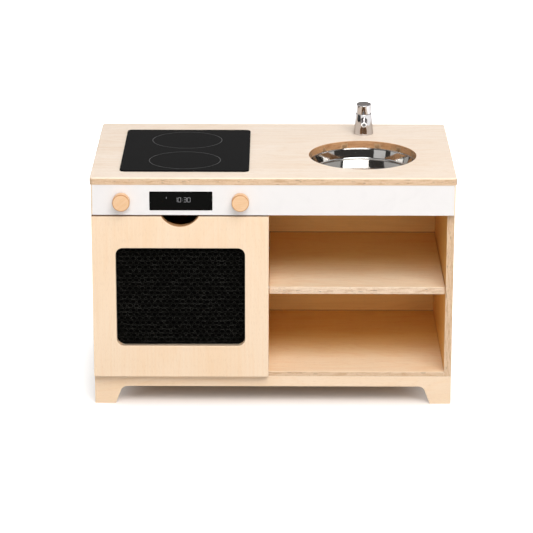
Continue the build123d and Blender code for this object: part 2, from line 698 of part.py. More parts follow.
# Push tap: flared body with a nose, a cap that slides in its bore, and the stud that holds it down
tap_axis = Axis((tap_center[0], tap_center[1], 0), (0, 0, 1))
tap_plane = Plane(origin=(tap_center[0], tap_center[1], 0), x_dir=(1, 0, 0), z_dir=(0, -1, 0))
tap_shoulder = worktop_height + tap_body_height
tap_bore = tap_cap_radius + running_clearance
tap_bore_depth = tap_cap_skirt + tap_travel + tap_spring_room
tap_floor = tap_shoulder - tap_bore_depth
spout_root = (tap_center[0], tap_center[1] - spout_root_reach, worktop_height + spout_root_height)
spout_tip = (tap_center[0], tap_center[1] - spout_reach, worktop_height + spout_tip_height)
spout_direction = (0, spout_root_reach - spout_reach, spout_tip_height - spout_root_height)
with BuildPart() as tap_body:
    with BuildSketch(tap_plane):
        with BuildLine():
            Polyline((0, worktop_height), (tap_base_radius, worktop_height),
                     (tap_base_radius, worktop_height + tap_base_lip), (tap_shoulder_radius, tap_shoulder),
                     (0, tap_shoulder), close=True)
        make_face()
    revolve(axis=tap_axis)
    with BuildSketch(Plane(origin=spout_root, x_dir=(1, 0, 0), z_dir=spout_direction)):
        Circle(spout_root_radius)
    with BuildSketch(Plane(origin=spout_tip, x_dir=(1, 0, 0), z_dir=spout_direction)):
        Circle(spout_tip_radius)
    loft()
    with Locations((tap_center[0], tap_center[1], tap_shoulder)):
        Cylinder(tap_bore, tap_bore_depth, align=below, mode=Mode.SUBTRACT)
    drill([spout_tip], (0, -spout_direction[1], -spout_direction[2]), aerator_radius + running_clearance,
          aerator_length)
    drill([(tap_center[0], tap_center[1], worktop_height)], up, stud_radius + running_clearance,
          stud_socket_depth)
save(tap_body, "tap_body")

with BuildPart() as tap_aerator:
    with BuildSketch(Plane(origin=spout_tip, x_dir=(1, 0, 0), z_dir=spout_direction)):
        Circle(aerator_radius)
        Circle(aerator_bore, mode=Mode.SUBTRACT)
    extrude(amount=-aerator_length)
save(tap_aerator, "tap_aerator")

tap_top = tap_shoulder + tap_cap_height
with BuildPart() as tap_cap:
    with Locations((tap_center[0], tap_center[1], tap_top)):
        Cylinder(tap_cap_radius, tap_cap_height + tap_cap_skirt, align=below)
    fillet(tap_cap.edges().sort_by(Axis.Z)[-1], tap_cap_edge_radius)
    drill([(tap_center[0], tap_center[1], tap_shoulder - tap_cap_skirt)], up, tap_cap_radius - tap_cap_wall,
          tap_cap_height + tap_cap_skirt - tap_cap_crown)
save(tap_cap, "tap_cap")

# Return spring between the body's floor and the cap's crown, wound in half turns of two arcs each
spring_bottom = tap_floor + spring_wire_radius + spring_seat_gap
spring_top = tap_top - tap_cap_crown - spring_wire_radius - spring_seat_gap
spring_rise = (spring_top - spring_bottom) / spring_turns


def spring_point(turn):
    """Point on the spring's centre line after a number of turns."""
    return Vector(tap_center[0], tap_center[1], spring_bottom + spring_rise * turn) + Vector(
        spring_radius, 0, 0).rotate(Axis.Z, 360 * turn)


def spring_tangent(turn):
    """Direction of the spring's centre line after a number of turns."""
    around = Vector(0, 2 * pi * spring_radius, 0).rotate(Axis.Z, 360 * turn)
    return (around + Vector(0, 0, spring_rise)).normalized()


def biarc(start, start_tangent, end, end_tangent):
    """Two tangent arcs from one point and direction to another."""
    chord = end - start
    spread = 2 * (1 - start_tangent.dot(end_tangent))
    along = chord.dot(start_tangent + end_tangent)
    reach = (-along + (along ** 2 + spread * chord.dot(chord)) ** 0.5) / spread
    joint = (start + end + (start_tangent - end_tangent) * reach) * 0.5
    TangentArc(start, joint, tangent=start_tangent)
    TangentArc(joint, end, tangent=joint - start - start_tangent * reach)


with BuildPart() as tap_spring:
    with BuildLine() as spring_line:
        for half_turn in range(2 * spring_turns):
            biarc(spring_point(half_turn / 2), spring_tangent(half_turn / 2),
                  spring_point((half_turn + 1) / 2), spring_tangent((half_turn + 1) / 2))
    with BuildSketch(Plane(origin=spring_point(0), z_dir=spring_tangent(0))):
        Circle(spring_wire_radius)
    sweep(path=spring_line.wires()[0])
save(tap_spring, "tap_spring")
print("least gap between the spring's turns:", round(spring_rise - 2 * spring_wire_radius, 2), "mm")

stud_bottom = worktop_underside - tap_washer_thickness - tap_nut_thickness - stud_tail
with BuildPart() as tap_stud:
    peg([(tap_center[0], tap_center[1], stud_bottom)], up, stud_radius,
        worktop_height + stud_socket_depth - stud_bottom)
    chamfer(tap_stud.edges().sort_by(Axis.Z)[0], 2 * thread_chamfer)
save(tap_stud, "tap_stud")

with BuildPart() as tap_washer:
    with BuildSketch(Plane.XY.offset(worktop_underside - tap_washer_thickness)):
        with Locations(tap_center):
            Circle(tap_washer_radius)
            Circle(stud_radius + stud_hole_clearance, mode=Mode.SUBTRACT)
    extrude(amount=tap_washer_thickness)
save(tap_washer, "tap_washer")

with BuildPart() as tap_nut:
    with BuildSketch(Plane.XY.offset(worktop_underside - tap_washer_thickness - tap_nut_thickness)):
        with Locations(tap_center):
            RegularPolygon(tap_nut_radius, 6)
            Circle(stud_radius + running_clearance, mode=Mode.SUBTRACT)
    extrude(amount=tap_nut_thickness)
save(tap_nut, "tap_nut")

# Fasteners that are alike share a file
with BuildPart() as carcass_dowels:
    for places, direction, start_depth in ((top_dowels, down, dowel_face_depth),
                                           (divider_dowels, up, dowel_face_depth),
                                           (plinth_dowels, up, dowel_length / 2),
                                           (bottom_dowels_left, right, dowel_face_depth),
                                           (bottom_dowels_right, left, dowel_face_depth),
                                           (fascia_dowels, backward, dowel_face_depth)):
        starts = [tuple(p - d * start_depth for p, d in zip(place, direction)) for place in places]
        peg(starts, direction, dowel_radius, dowel_length)
save(carcass_dowels, "carcass_dowels")

with BuildPart() as shelf_pins:
    peg([(x - shelf_pin_depth, y, z) for x, y, z in shelf_pins_left], right, shelf_pin_radius,
        shelf_pin_length)
    peg([(x + shelf_pin_depth, y, z) for x, y, z in shelf_pins_right], left, shelf_pin_radius,
        shelf_pin_length)
save(shelf_pins, "shelf_pins")

with BuildPart() as back_panel_screws:
    flush_screws(back_upright_screws + back_bottom_screws, forward, back_screw_head_radius, screw_radius,
                 back_screw_length)
save(back_panel_screws, "back_panel_screws")
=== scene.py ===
import json
from math import cos, pi, radians, sin, tau

import bmesh
import bpy
from bpy.props import FloatProperty, FloatVectorProperty, IntProperty, PointerProperty, StringProperty
from mathutils import Matrix, Vector, noise


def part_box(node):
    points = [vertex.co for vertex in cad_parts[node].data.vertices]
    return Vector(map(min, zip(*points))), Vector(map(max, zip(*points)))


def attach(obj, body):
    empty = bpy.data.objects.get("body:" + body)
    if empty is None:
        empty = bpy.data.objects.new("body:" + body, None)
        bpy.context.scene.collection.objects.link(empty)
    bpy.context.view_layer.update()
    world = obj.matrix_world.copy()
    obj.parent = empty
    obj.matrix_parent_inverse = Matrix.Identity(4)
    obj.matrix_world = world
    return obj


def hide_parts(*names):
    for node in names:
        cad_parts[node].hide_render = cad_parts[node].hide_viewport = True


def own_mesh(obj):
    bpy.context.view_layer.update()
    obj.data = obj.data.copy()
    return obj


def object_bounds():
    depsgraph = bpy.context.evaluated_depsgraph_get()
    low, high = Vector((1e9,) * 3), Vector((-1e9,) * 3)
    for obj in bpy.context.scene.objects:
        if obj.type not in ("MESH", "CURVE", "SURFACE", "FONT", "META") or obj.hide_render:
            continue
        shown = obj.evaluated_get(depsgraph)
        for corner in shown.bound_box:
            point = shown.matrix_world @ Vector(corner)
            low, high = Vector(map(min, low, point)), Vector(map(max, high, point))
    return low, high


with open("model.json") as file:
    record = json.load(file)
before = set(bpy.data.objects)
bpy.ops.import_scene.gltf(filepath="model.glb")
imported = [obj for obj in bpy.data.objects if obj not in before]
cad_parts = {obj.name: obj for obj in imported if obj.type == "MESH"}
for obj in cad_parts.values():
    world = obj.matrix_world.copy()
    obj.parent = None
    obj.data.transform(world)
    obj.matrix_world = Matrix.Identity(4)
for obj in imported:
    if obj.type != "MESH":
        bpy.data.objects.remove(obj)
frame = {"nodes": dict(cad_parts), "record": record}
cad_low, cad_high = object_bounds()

bl_info = {
    "name": "Toy Kitchen Looks",
    "version": (1, 0, 0),
    "blender": (4, 5, 0),
    "location": "View3D > Sidebar > Toy Kitchen",
    "description": "Finishes, steel, net, clock and studio of a birch plywood toy kitchen",
    "category": "Object",
}

MM = 0.001
WELD = 0.0005 * MM


def length(name, description, millimetres):
    """A size that is written in millimetres and shows in the scene's units."""
    return FloatProperty(name=name, description=description, default=millimetres * MM, unit="LENGTH",
                         precision=4)


def angle(name, description, default):
    """An angle in radians."""
    return FloatProperty(name=name, description=description, default=default, subtype="ANGLE",
                         unit="ROTATION")


def colour(name, description, default):
    """A linear colour."""
    return FloatVectorProperty(name=name, description=description, default=default, subtype="COLOR", size=3,
                               min=0.0, max=1.0)


class WoodSettings(bpy.types.PropertyGroup):
    """Birch plywood and turned birch."""

    # Painted sheen: the worktop's veneer is paler than the other faces' for the sheen that its top shows at a
    # grazing angle.
    sheen_top_pale: colour("Worktop veneer", "Lightest colour of the worktop's veneer", (0.945, 0.81, 0.685))
    sheen_top_warm: colour("Worktop figure", "Figure of the worktop's veneer", (0.86, 0.67, 0.50))
    pale: colour("Pale veneer", "Lightest colour of the face veneer", (0.895, 0.695, 0.505))
    warm: colour("Warm veneer", "Colour of the veneer's figure and growth lines", (0.86, 0.60, 0.37))
    # Painted light: the shelf and the bottom are paler than the other faces, for the light that falls on them
    # at the front of the bay.
    lit_shelf_pale: colour("Shelf veneer", "Lightest veneer of the shelf and the bottom", (0.97, 0.785, 0.565))
    lit_shelf_warm: colour("Shelf figure", "Figure of the shelf and the bottom", (0.91, 0.66, 0.42))
    # The inner veneer is a back-grade veneer; its darker, more saturated colour also paints the shade inside
    # the kitchen.
    inner_shaded_pale: colour("Inner veneer", "Lightest veneer inside the open bay", (0.87, 0.505, 0.15))
    inner_shaded_warm: colour("Inner figure", "Figure of the veneer inside the open bay", (0.72, 0.37, 0.09))
    edge_pale: colour("Long plies", "Plies cut along the grain, seen at an edge", (0.81, 0.60, 0.41))
    shelf_edge: colour("Shelf plies", "The long plies of the shelf, which are paler", (0.95, 0.77, 0.59))
    edge_dark: colour("Cross plies", "Plies cut across the grain, seen at an edge", (0.50, 0.29, 0.15))
    knob_pale: colour("Knob wood", "Lightest colour of the turned knobs", (0.85, 0.575, 0.35))
    knob_warm: colour("Knob figure", "Figure of the turned knobs", (0.74, 0.43, 0.21))
    # Painted shade on the walls of the sink's cut-out and the door's notch; on the knobs it darkens the rim
    # of the front.
    darker_rim: colour("Burnished wood", "Tint of wood that a cutter has burnished", (0.70, 0.52, 0.36))
    # Painted shade: the shelf and the bottom are tinted darker and warmer towards the back of the bay, where
    # the shade falls.
    deep: colour("Deep", "Tint of the boards towards the back of the bay", (0.97, 0.81, 0.42))
    notch_radius: length("Notch radius", "Radius of the door's finger notch", 44.0)
    notch_depth: length("Notch depth", "Depth of the door's finger notch", 21.0)
    ply: length("Ply", "Thickness of one ply", 1.364)
    roughness: FloatProperty(name="Lacquer roughness", description="Roughness of the clear satin lacquer",
                             default=0.46, min=0.0, max=1.0, subtype="FACTOR")


class HobSettings(bpy.types.PropertyGroup):
    """Black hob panel with two ring marks."""

    ring_width: length("Ring width", "Half the width of a ring mark", 73.0)
    ring_depth: length("Ring depth", "Half the depth of a ring mark", 65.0)
    ring_spacing: length("Ring spacing", "Distance between the ring centres", 158.0)
    ring_offset: length("Ring offset", "How far right of the panel's middle the rings lie", -1.2)
    ring_setback: length("Ring setback", "How far the pair of rings lies from the panel's middle", -4.0)
    line: length("Line", "Width of the ring lines", 1.5)
    black: colour("Black", "Colour of the panel", (0.0060, 0.0060, 0.0060))
    grey: colour("Grey", "Colour of the ring lines", (0.085, 0.085, 0.085))


class ClockSettings(bpy.types.PropertyGroup):
    """Black clock panel in the fascia."""

    digits: StringProperty(name="Digits", description="Time that the clock shows", default="10:30")
    height: length("Digit height", "Height of the digits", 8.9)
    width: length("Digit width", "Width of one digit", 5.4)
    gap: length("Digit gap", "Space between the digits", 2.1)
    bar: length("Bar", "Width of the bars that make the digits", 0.85)
    relief: length("Relief", "How far the printed marks stand on the panel", 0.06)
    offset: length("Offset", "How far right of the panel's middle the digits stand", 4.0)
    rise: length("Rise", "How far above the panel's middle the digits stand", 2.5)
    mark: length("Mark", "How far left of the panel's middle the small mark stands", 29.4)
    border: length("Border", "Width of the blacker border", 2.8)
    grey: colour("Digit grey", "Colour of the digits", (0.22, 0.22, 0.23))


class SinkSettings(bpy.types.PropertyGroup):
    """Spun steel bowl that hangs under the worktop."""

    cut_out: length("Cut-out radius", "Radius of the worktop's cut-out over the bowl", 111.0)
    bead: length("Bead", "How far the rolled rim stands inside the cut-out", 1.3)
    bead_height: length("Bead height", "Height of the rolled rim", 2.4)
    mouth: length("Mouth radius", "Inner radius at the top of the bowl", 113.0)
    floor_radius: length("Floor radius", "Inner radius where the wall meets the flat bottom", 107.0)
    sheet: length("Sheet", "Thickness of the steel", 1.0)
    lip: length("Lip", "Reach of the bend under the flange", 1.6)
    bend: length("Bend", "Reach of the bend into the bottom", 3.1)
    steel: colour("Steel", "Colour of the polished steel", (0.66, 0.645, 0.625))


class TapSettings(bpy.types.PropertyGroup):
    """Chrome push tap."""

    rim: colour("Rim", "Tint of the chrome at grazing angles", (0.46, 0.42, 0.38))
    slant: angle("Slant", "How far the cap's top slopes to the front", radians(5.0))
    travel: length("Travel", "How far the cap is pressed down", 6.0)
    base_lip: length("Base lip", "Height of the straight lip at the foot", 3.0)
    base_radius: length("Foot radius", "Radius at the foot", 20.5)
    waist_radius: length("Waist radius", "Radius above the flared foot", 20.0)
    waist_height: length("Waist height", "Height of the flare over the worktop", 7.0)
    shoulder_radius: length("Shoulder radius", "Radius at the top of the body", 16.8)
    bore: length("Bore radius", "Radius of the bore that the cap slides in", 15.65)
    bore_depth: length("Bore depth", "Depth of that bore", 26.5)
    cap_wall: length("Cap wall", "Thickness of the cap's wall", 2.0)
    cap_crown: length("Cap crown", "Thickness of the cap's top", 3.0)
    easing: length("Easing", "Reach of the rounded arrises", 1.0)
    nose_root: length("Nose root", "Radius of the nose where it leaves the body", 8.5)
    nose_tip: length("Nose tip", "Radius of the nose at its tip", 6.4)
    nose_bore: length("Nose bore", "Radius of the nose's bore", 4.45)
    nose_start: length("Nose start", "Reach at which the nose's axis starts", 6.0)
    nose_reach: length("Nose reach", "Reach of the nose's tip from the tap's axis", 34.0)
    nose_start_height: length("Nose start height", "Height at which the nose's axis starts", 34.0)
    nose_tip_height: length("Nose tip height", "Height of the nose's tip over the worktop", 27.0)
    chrome: colour("Chrome", "Colour of the chrome", (0.62, 0.605, 0.61))


class NetSettings(bpy.types.PropertyGroup):
    """Black net in the oven door's window."""

    pitch: length("Pitch", "Distance between neighbouring gaps in a row", 12.5)
    row_pitch: length("Row pitch", "Distance between rows", 9.2)
    strand: length("Strand", "Width of a strand that runs up", 2.7)
    row_strand: length("Row strand", "Width of a strand that runs along a row", 3.4)
    thickness: length("Thickness", "Thickness of the net", 1.7)
    wander: length("Wander", "How far the rows stray from straight lines", 1.5)
    stray: length("Stray", "How far single crossings stray", 0.9)
    seed: IntProperty(name="Seed", description="Seed of the straying", default=7, min=1)
    columns: IntProperty(name="Columns", description="Gaps in a row", default=22, min=2, max=40)
    rows: IntProperty(name="Rows", description="Rows of gaps", default=24, min=2, max=40)
    backing: length("Backing", "Thickness of the fine layer behind the strands", 0.25)
    black: colour("Black", "Colour of the strands", (0.0080, 0.0078, 0.0070))
    # Painted shade: the backing's near-black colour stands for the shade in the oven, seen through the gaps.
    shade_backing_black: colour("Backing black", "Colour of the fine layer behind", (0.0004, 0.0004, 0.0003))


class StageSettings(bpy.types.PropertyGroup):
    """Camera, lamps and floor."""

    lens: FloatProperty(name="Lens", description="Focal length of the camera", default=174.6,
                        subtype="DISTANCE_CAMERA")
    place: FloatVectorProperty(name="Place", description="Where the camera stands", size=3,
                               default=(0.00523, -5.2041, 1.91656), subtype="TRANSLATION")
    tilt: angle("Tilt", "How far the camera looks down", radians(17.89))
    turn: angle("Turn", "How far the camera turns to its left", 0.00372)
    roll: angle("Roll", "How far the camera leans", 0.00134)
    ambient: FloatProperty(name="Ambient", description="Light from all round", default=0.18, min=0.0)
    floor: colour("Floor", "Colour of the floor", (0.82, 0.82, 0.82))
    # Painted shade: the floor is darker and warmer under the kitchen, where its shadow and the wood's warm
    # bounce light fall.
    under: colour("Under", "Colour of the floor under the kitchen", (0.80, 0.68, 0.60))
    bounce: colour("Bounce", "Colour of the light that the floor throws back", (0.46, 0.46, 0.46))


class NodeBench:
    """Lays out the nodes of one material or shader group."""

    def __init__(self, tree):
        self.tree = tree

    def feed(self, socket, value):
        """Link a socket, or set its plain value."""
        if isinstance(value, bpy.types.NodeSocket):
            self.tree.links.new(value, socket)
        elif hasattr(value, "__len__") and len(value) == 3 and socket.type == "RGBA":
            socket.default_value = (*value, 1.0)
        else:
            socket.default_value = value

    def add(self, kind, values=None, **settings):
        """Add a node with its settings and inputs."""
        node = self.tree.nodes.new(kind)
        for name, value in settings.items():
            setattr(node, name, value)
        for socket, value in (values or {}).items():
            self.feed(node.inputs[socket], value)
        return node

    def math(self, operation, *values, clamp=False):
        """Arithmetic on one, two or three values."""
        node = self.add("ShaderNodeMath", dict(enumerate(values)), operation=operation, use_clamp=clamp)
        return node.outputs[0]

    def times(self, first, second):
        """Product of two values."""
        return self.math("MULTIPLY", first, second)

    def apart(self, first, second):
        """How far apart two values are."""
        return self.math("ABSOLUTE", self.math("SUBTRACT", first, second))

    def diagonal(self, across, along):
        """Length of a diagonal."""
        return self.math("SQRT", self.math("ADD", self.times(across, across), self.times(along, along)))

    def total(self, *values):
        """Sum of several values."""
        result = values[0]
        for value in values[1:]:
            result = self.math("ADD", result, value)
        return result

    def step(self, value, low, high, first=0.0, last=1.0):
        """Smooth step from one value to another."""
        values = {"Value": value, "From Min": low, "From Max": high, "To Min": first, "To Max": last}
        return self.add("ShaderNodeMapRange", values, interpolation_type="SMOOTHSTEP").outputs[0]

    def noise(self, vector, stretch, detail=2.0, distortion=0.0):
        """Noise with its own scale along each axis."""
        scaled = self.add("ShaderNodeVectorMath", {0: vector, 1: stretch}, operation="MULTIPLY").outputs[0]
        return self.add("ShaderNodeTexNoise", {"Vector": scaled, "Scale": 1.0, "Detail": detail,
                                               "Distortion": distortion}).outputs["Fac"]

    def mix(self, factor, first, second, blend="MIX"):
        """Mix of two colours."""
        node = self.add("ShaderNodeMix", {0: factor, 6: first, 7: second}, data_type="RGBA", blend_type=blend)
        return node.outputs[2]

    def split(self, vector):
        """The three parts of a vector."""
        return self.add("ShaderNodeSeparateXYZ", {0: vector}).outputs

    def join(self, *parts):
        """A vector from its parts."""
        return self.add("ShaderNodeCombineXYZ", dict(enumerate(parts))).outputs[0]

    def spot(self):
        """The place on the piece."""
        return self.add("ShaderNodeTexCoord").outputs["Object"]

    def place(self):
        """The three parts of the place on the piece."""
        return self.split(self.spot())

    def reach(self, centre, axes):
        """Distance from a line through a point, along two axes."""
        place = self.place()
        return self.diagonal(*(self.math("SUBTRACT", place[axis], centre[axis]) for axis in axes))

    def bump(self, height, distance, strength):
        """Normal from a height."""
        node = self.add("ShaderNodeBump", {"Height": height, "Distance": distance, "Strength": strength})
        return node.outputs[0]

    def group(self, tree, values):
        """Outputs of a shader group."""
        return self.add("ShaderNodeGroup", values, node_tree=tree).outputs

    def shade(self, values):
        """Feed the material's shader by the names of its sockets."""
        for socket, value in values.items():
            self.feed(self.tree.nodes["Principled BSDF"].inputs[socket], value)

    def tint(self, mask, shade, blend="MULTIPLY"):
        """Darken the material's colour, or paint it over, where a mask is 1."""
        base = self.tree.nodes["Principled BSDF"].inputs["Base Color"]
        self.feed(base, self.mix(mask, base.links[0].from_socket, tuple(shade), blend))


def shader_group(name, inputs, outputs):
    """Start a shader group, and give its bench, inputs and outputs."""
    tree = bpy.data.node_groups.new(name, "ShaderNodeTree")
    for direction, sockets in (("INPUT", inputs), ("OUTPUT", outputs)):
        for label, kind in sockets.items():
            tree.interface.new_socket(label, in_out=direction, socket_type=f"NodeSocket{kind}")
    bench = NodeBench(tree)
    return bench, bench.add("NodeGroupInput").outputs, bench.add("NodeGroupOutput").inputs


def birch_group():
    """Birch plywood: veneer figure on the faces, plies with glue lines and voids on the edges."""
    known = bpy.data.node_groups.get("Birch plywood")
    if known:
        return known
    bench, given, result = shader_group(
        "Birch plywood",
        {"Place": "Vector", "Face": "Float", "End": "Float", "Ply": "Float", "Pale": "Color", "Warm": "Color",
         "Edge Pale": "Color", "Edge Dark": "Color", "Figure": "Float"},
        {"Color": "Color", "Roughness": "Float", "Height": "Float"})
    place = given["Place"]
    through = bench.split(place)[2]

    # Face veneer: broad figure, growth lines that follow it, streaks and pores along the grain
    figure = bench.noise(place, (2.3, 9.5, 9.5), detail=3.0, distortion=1.1)
    wave = bench.math("PINGPONG", bench.times(figure, 9.0), 0.5)
    growth = bench.math("POWER", bench.times(wave, 2.0), 3.0)
    streak = bench.noise(place, (7.0, 240.0, 240.0), detail=3.0)
    pore = bench.step(bench.noise(place, (85.0, 1500.0, 1500.0), detail=1.0), 0.60, 0.74)
    cloud = bench.noise(place, (5.0, 6.0, 6.0), detail=2.0)
    rings = bench.times(growth, bench.times(given["Figure"], 0.18))
    figured = bench.total(rings, bench.step(streak, 0.35, 0.8, 0.0, 0.32),
                          bench.step(figure, 0.35, 0.75, 0.0, 0.30), bench.step(cloud, 0.4, 0.75, 0.0, 0.22))
    veneer = bench.mix(figured, given["Pale"], given["Warm"])
    veneer = bench.mix(bench.times(pore, 0.30), veneer, given["Edge Dark"])

    # Edges: plies that lie along and across, glue lines, mottling, and small voids whose dark colour is
    # painted shade
    layer = bench.math("DIVIDE", through, given["Ply"])
    crossed = bench.math("FLOORED_MODULO", bench.math("FLOOR", layer), 2.0)
    end_on = bench.apart(crossed, bench.step(given["End"], 0.4, 0.6))
    glue = bench.step(bench.apart(bench.math("FRACT", layer), 0.5), 0.40, 0.49)
    speckle = bench.noise(place, (600.0, 600.0, 900.0), detail=2.0)
    thread = bench.noise(place, (38.0, 38.0, 1300.0), detail=2.0)
    mottle = bench.step(bench.noise(place, (45.0, 45.0, 240.0), detail=3.0), 0.45, 0.75)
    fleck = bench.step(bench.noise(place, (140.0, 140.0, 640.0), detail=1.0), 0.60, 0.70)
    hollow = bench.step(bench.noise(place, (75.0, 75.0, 420.0), detail=1.0), 0.675, 0.71)
    shaded_void = bench.times(hollow, end_on)
    darkness = bench.total(bench.times(end_on, bench.step(speckle, 0.25, 0.75, 0.30, 0.72)),
                           bench.step(thread, 0.3, 0.75, -0.16, 0.36), bench.times(mottle, 0.44),
                           bench.times(bench.times(fleck, end_on), 0.55))
    edge = bench.mix(bench.math("ADD", darkness, 0.0, clamp=True), given["Edge Pale"], given["Edge Dark"])
    edge = bench.mix(bench.times(glue, 0.40), edge, (0.24, 0.12, 0.05))
    # Painted shade in the small voids.
    edge = bench.mix(bench.times(shaded_void, 0.7), edge, (0.10, 0.052, 0.025))

    # Eased arrises: a painted highlight, paler than the rest
    face = given["Face"]
    on_face = bench.step(face, 0.55, 0.80)
    arris_highlight = bench.times(bench.step(face, 0.2, 0.4), bench.step(face, 0.90, 0.985, 0.75, 0.0))
    bench.feed(result["Color"], bench.mix(arris_highlight, bench.mix(on_face, edge, veneer), (0.96, 0.82, 0.64)))
    bench.feed(result["Roughness"], bench.total(bench.step(on_face, 0.0, 1.0, 0.16, 0.0),
                                               bench.step(streak, 0.3, 0.8, -0.03, 0.05)))
    face_height = bench.times(pore, -0.35)
    edge_height = bench.total(bench.times(glue, -0.5), bench.times(shaded_void, -2.5),
                              bench.times(thread, 0.4))
    on_edge = bench.math("SUBTRACT", 1.0, on_face)
    bench.feed(result["Height"], bench.total(bench.times(face_height, on_face),
                                            bench.times(edge_height, on_edge)))
    return bench.tree


def handling_group():
    """Faint smears and specks of a surface that is touched and wiped."""
    known = bpy.data.node_groups.get("Handling marks")
    if known:
        return known
    bench, given, result = shader_group("Handling marks", {"Place": "Vector"},
                                        {"Amount": "Float", "Grain": "Float"})
    place = given["Place"]
    smear = bench.step(bench.noise(place, (34.0, 21.0, 34.0), detail=4.0, distortion=0.8), 0.42, 0.78)
    speck = bench.step(bench.noise(place, (520.0, 520.0, 520.0), detail=1.0), 0.66, 0.80)
    bench.feed(result["Amount"], bench.total(bench.times(smear, 0.8), bench.times(speck, 0.2)))
    bench.feed(result["Grain"], bench.noise(place, (900.0, 900.0, 900.0), detail=2.0))
    return bench.tree


def spun_group():
    """Fine rings that a polishing wheel leaves on spun and turned metal."""
    known = bpy.data.node_groups.get("Spun metal")
    if known:
        return known
    bench, given, result = shader_group(
        "Spun metal", {"Radius": "Float", "Height": "Float", "Place": "Vector"},
        {"Rings": "Float", "Haze": "Float"})
    section = bench.join(given["Radius"], given["Height"])
    bench.feed(result["Rings"], bench.noise(section, (2600.0, 2600.0, 2600.0), detail=3.0))
    haze = bench.noise(given["Place"], (46.0, 46.0, 46.0), detail=3.0)
    bench.feed(result["Haze"], bench.step(haze, 0.45, 0.8))
    return bench.tree


def new_material(name):
    """Plain node material with its bench."""
    material = bpy.data.materials.new(name)
    material.use_nodes = True
    return material, NodeBench(material.node_tree)


def birch(name, node, grain, thickness, seed, pale, warm, back=None, solid=False, figure=1.0, turn=0.0,
          edge=None):
    """Birch for one panel: its grain and thickness axes, its figure's place and its veneer colours.

    Plywood has its best veneer on one face, and back gives the axis sign and colours of the other face.
    Solid wood shows no plies. The figure is bolder above 1, and turn leans the grain in the plane of the
    front. The long plies at the edges can have their own colour.
    """
    wood = bpy.context.scene.kitchen_wood
    material, bench = new_material(name)
    place, normal = bench.spot(), bench.split(bench.add("ShaderNodeTexCoord").outputs["Normal"])
    if turn:
        leant = bench.add("ShaderNodeVectorRotate", {"Vector": place, "Angle": turn}, rotation_type="Y_AXIS")
        place = leant.outputs[0]
    place = bench.split(place)
    across = ({"X", "Y", "Z"} - {grain, thickness}).pop()
    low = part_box(node)[0]["XYZ".index(thickness)]
    along = bench.total(place[grain], 0.73 * seed)
    aside = bench.total(place[across], 0.41 * seed)
    deep = bench.math("SUBTRACT", place[thickness], low)
    face = 1.0 if solid else bench.math("ABSOLUTE", normal[thickness])
    pale, warm = tuple(pale), tuple(warm)
    if back:
        sign, back_pale, back_warm = back
        behind = bench.step(bench.times(normal[thickness], sign), 0.4, 0.6)
        pale, warm = bench.mix(behind, pale, tuple(back_pale)), bench.mix(behind, warm, tuple(back_warm))
    ply = bench.group(birch_group(), {
        "Place": bench.join(along, aside, deep), "Face": face, "End": bench.math("ABSOLUTE", normal[grain]),
        "Ply": wood.ply, "Pale": pale, "Warm": warm, "Figure": figure,
        "Edge Pale": tuple(edge or wood.edge_pale), "Edge Dark": tuple(wood.edge_dark)})
    bench.shade({"Base Color": ply["Color"], "Roughness": bench.total(ply["Roughness"], wood.roughness),
                 "Normal": bench.bump(ply["Height"], 0.12 * MM, 0.6), "Specular IOR Level": 0.42})
    return material


def coated(name, base, roughness, swing, specular=0.5, grain_depth=0.0, metallic=0.0):
    """Smooth plastic, laminate or plated metal with faint handling marks."""
    material, bench = new_material(name)
    marks = bench.group(handling_group(), {"Place": bench.spot()})
    worn = tuple(0.72 * part for part in base)
    bench.shade({"Base Color": bench.mix(bench.times(marks["Amount"], 0.10), tuple(base), worn),
                 "Roughness": bench.step(marks["Amount"], 0.0, 1.0, roughness, roughness + swing),
                 "Specular IOR Level": specular, "Metallic": metallic})
    if grain_depth:
        bench.shade({"Normal": bench.bump(marks["Grain"], grain_depth, 0.5)})
    return material


def spun_steel(name, base, centre, roughness, swing, rim=(1.0, 1.0, 1.0)):
    """Polished metal with wheel marks about an upright axis, and the tint of its grazing reflections."""
    material, bench = new_material(name)
    marks = bench.group(spun_group(), {"Radius": bench.reach(centre, (0, 1)), "Height": bench.place()[2],
                                       "Place": bench.spot()})
    hazy = tuple(0.86 * part for part in base)
    dull = bench.step(marks["Haze"], 0.0, 1.0, roughness, roughness + swing)
    bench.shade({"Base Color": bench.mix(bench.times(marks["Haze"], 0.25), tuple(base), hazy),
                 "Roughness": bench.total(dull, bench.step(marks["Rings"], 0.4, 0.8, 0.0, swing)),
                 "Normal": bench.bump(marks["Rings"], 0.004 * MM, 0.35),
                 "Metallic": 1.0, "Specular Tint": tuple(rim)})
    return material


def dress(material, *nodes):
    """Give CAD nodes a finish."""
    for name in nodes:
        slots = frame["nodes"][name].data.materials
        slots.clear()
        slots.append(material)


def set_down(shape, name):
    """Turn a bmesh into an object of the scene."""
    mesh = bpy.data.meshes.new(name)
    shape.to_mesh(mesh)
    shape.free()
    thing = bpy.data.objects.new(name, mesh)
    bpy.context.scene.collection.objects.link(thing)
    return thing


def finish_piece(shape, name, material, body, sharp=radians(35), replaced=()):
    """Turn a bmesh into a piece that rides on a body."""
    piece = set_down(shape, name)
    piece.data.shade_smooth()
    piece.data.set_sharp_from_angle(angle=sharp)
    piece.data.materials.append(material)
    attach(piece, body)
    if replaced:
        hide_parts(*replaced)
    return piece


def smoothed(node, material, body):
    """A copy of a CAD node, merged and smoothly shaded with level flats, that stands for it."""
    shape = bmesh.new()
    shape.from_mesh(frame["nodes"][node].data)
    bmesh.ops.remove_doubles(shape, verts=shape.verts, dist=4 * WELD)
    piece = finish_piece(shape, f"{node}_smooth", material, body, radians(30), [node])
    level = piece.modifiers.new("Level flats", "WEIGHTED_NORMAL")
    level.keep_sharp, level.weight = True, 100
    return piece


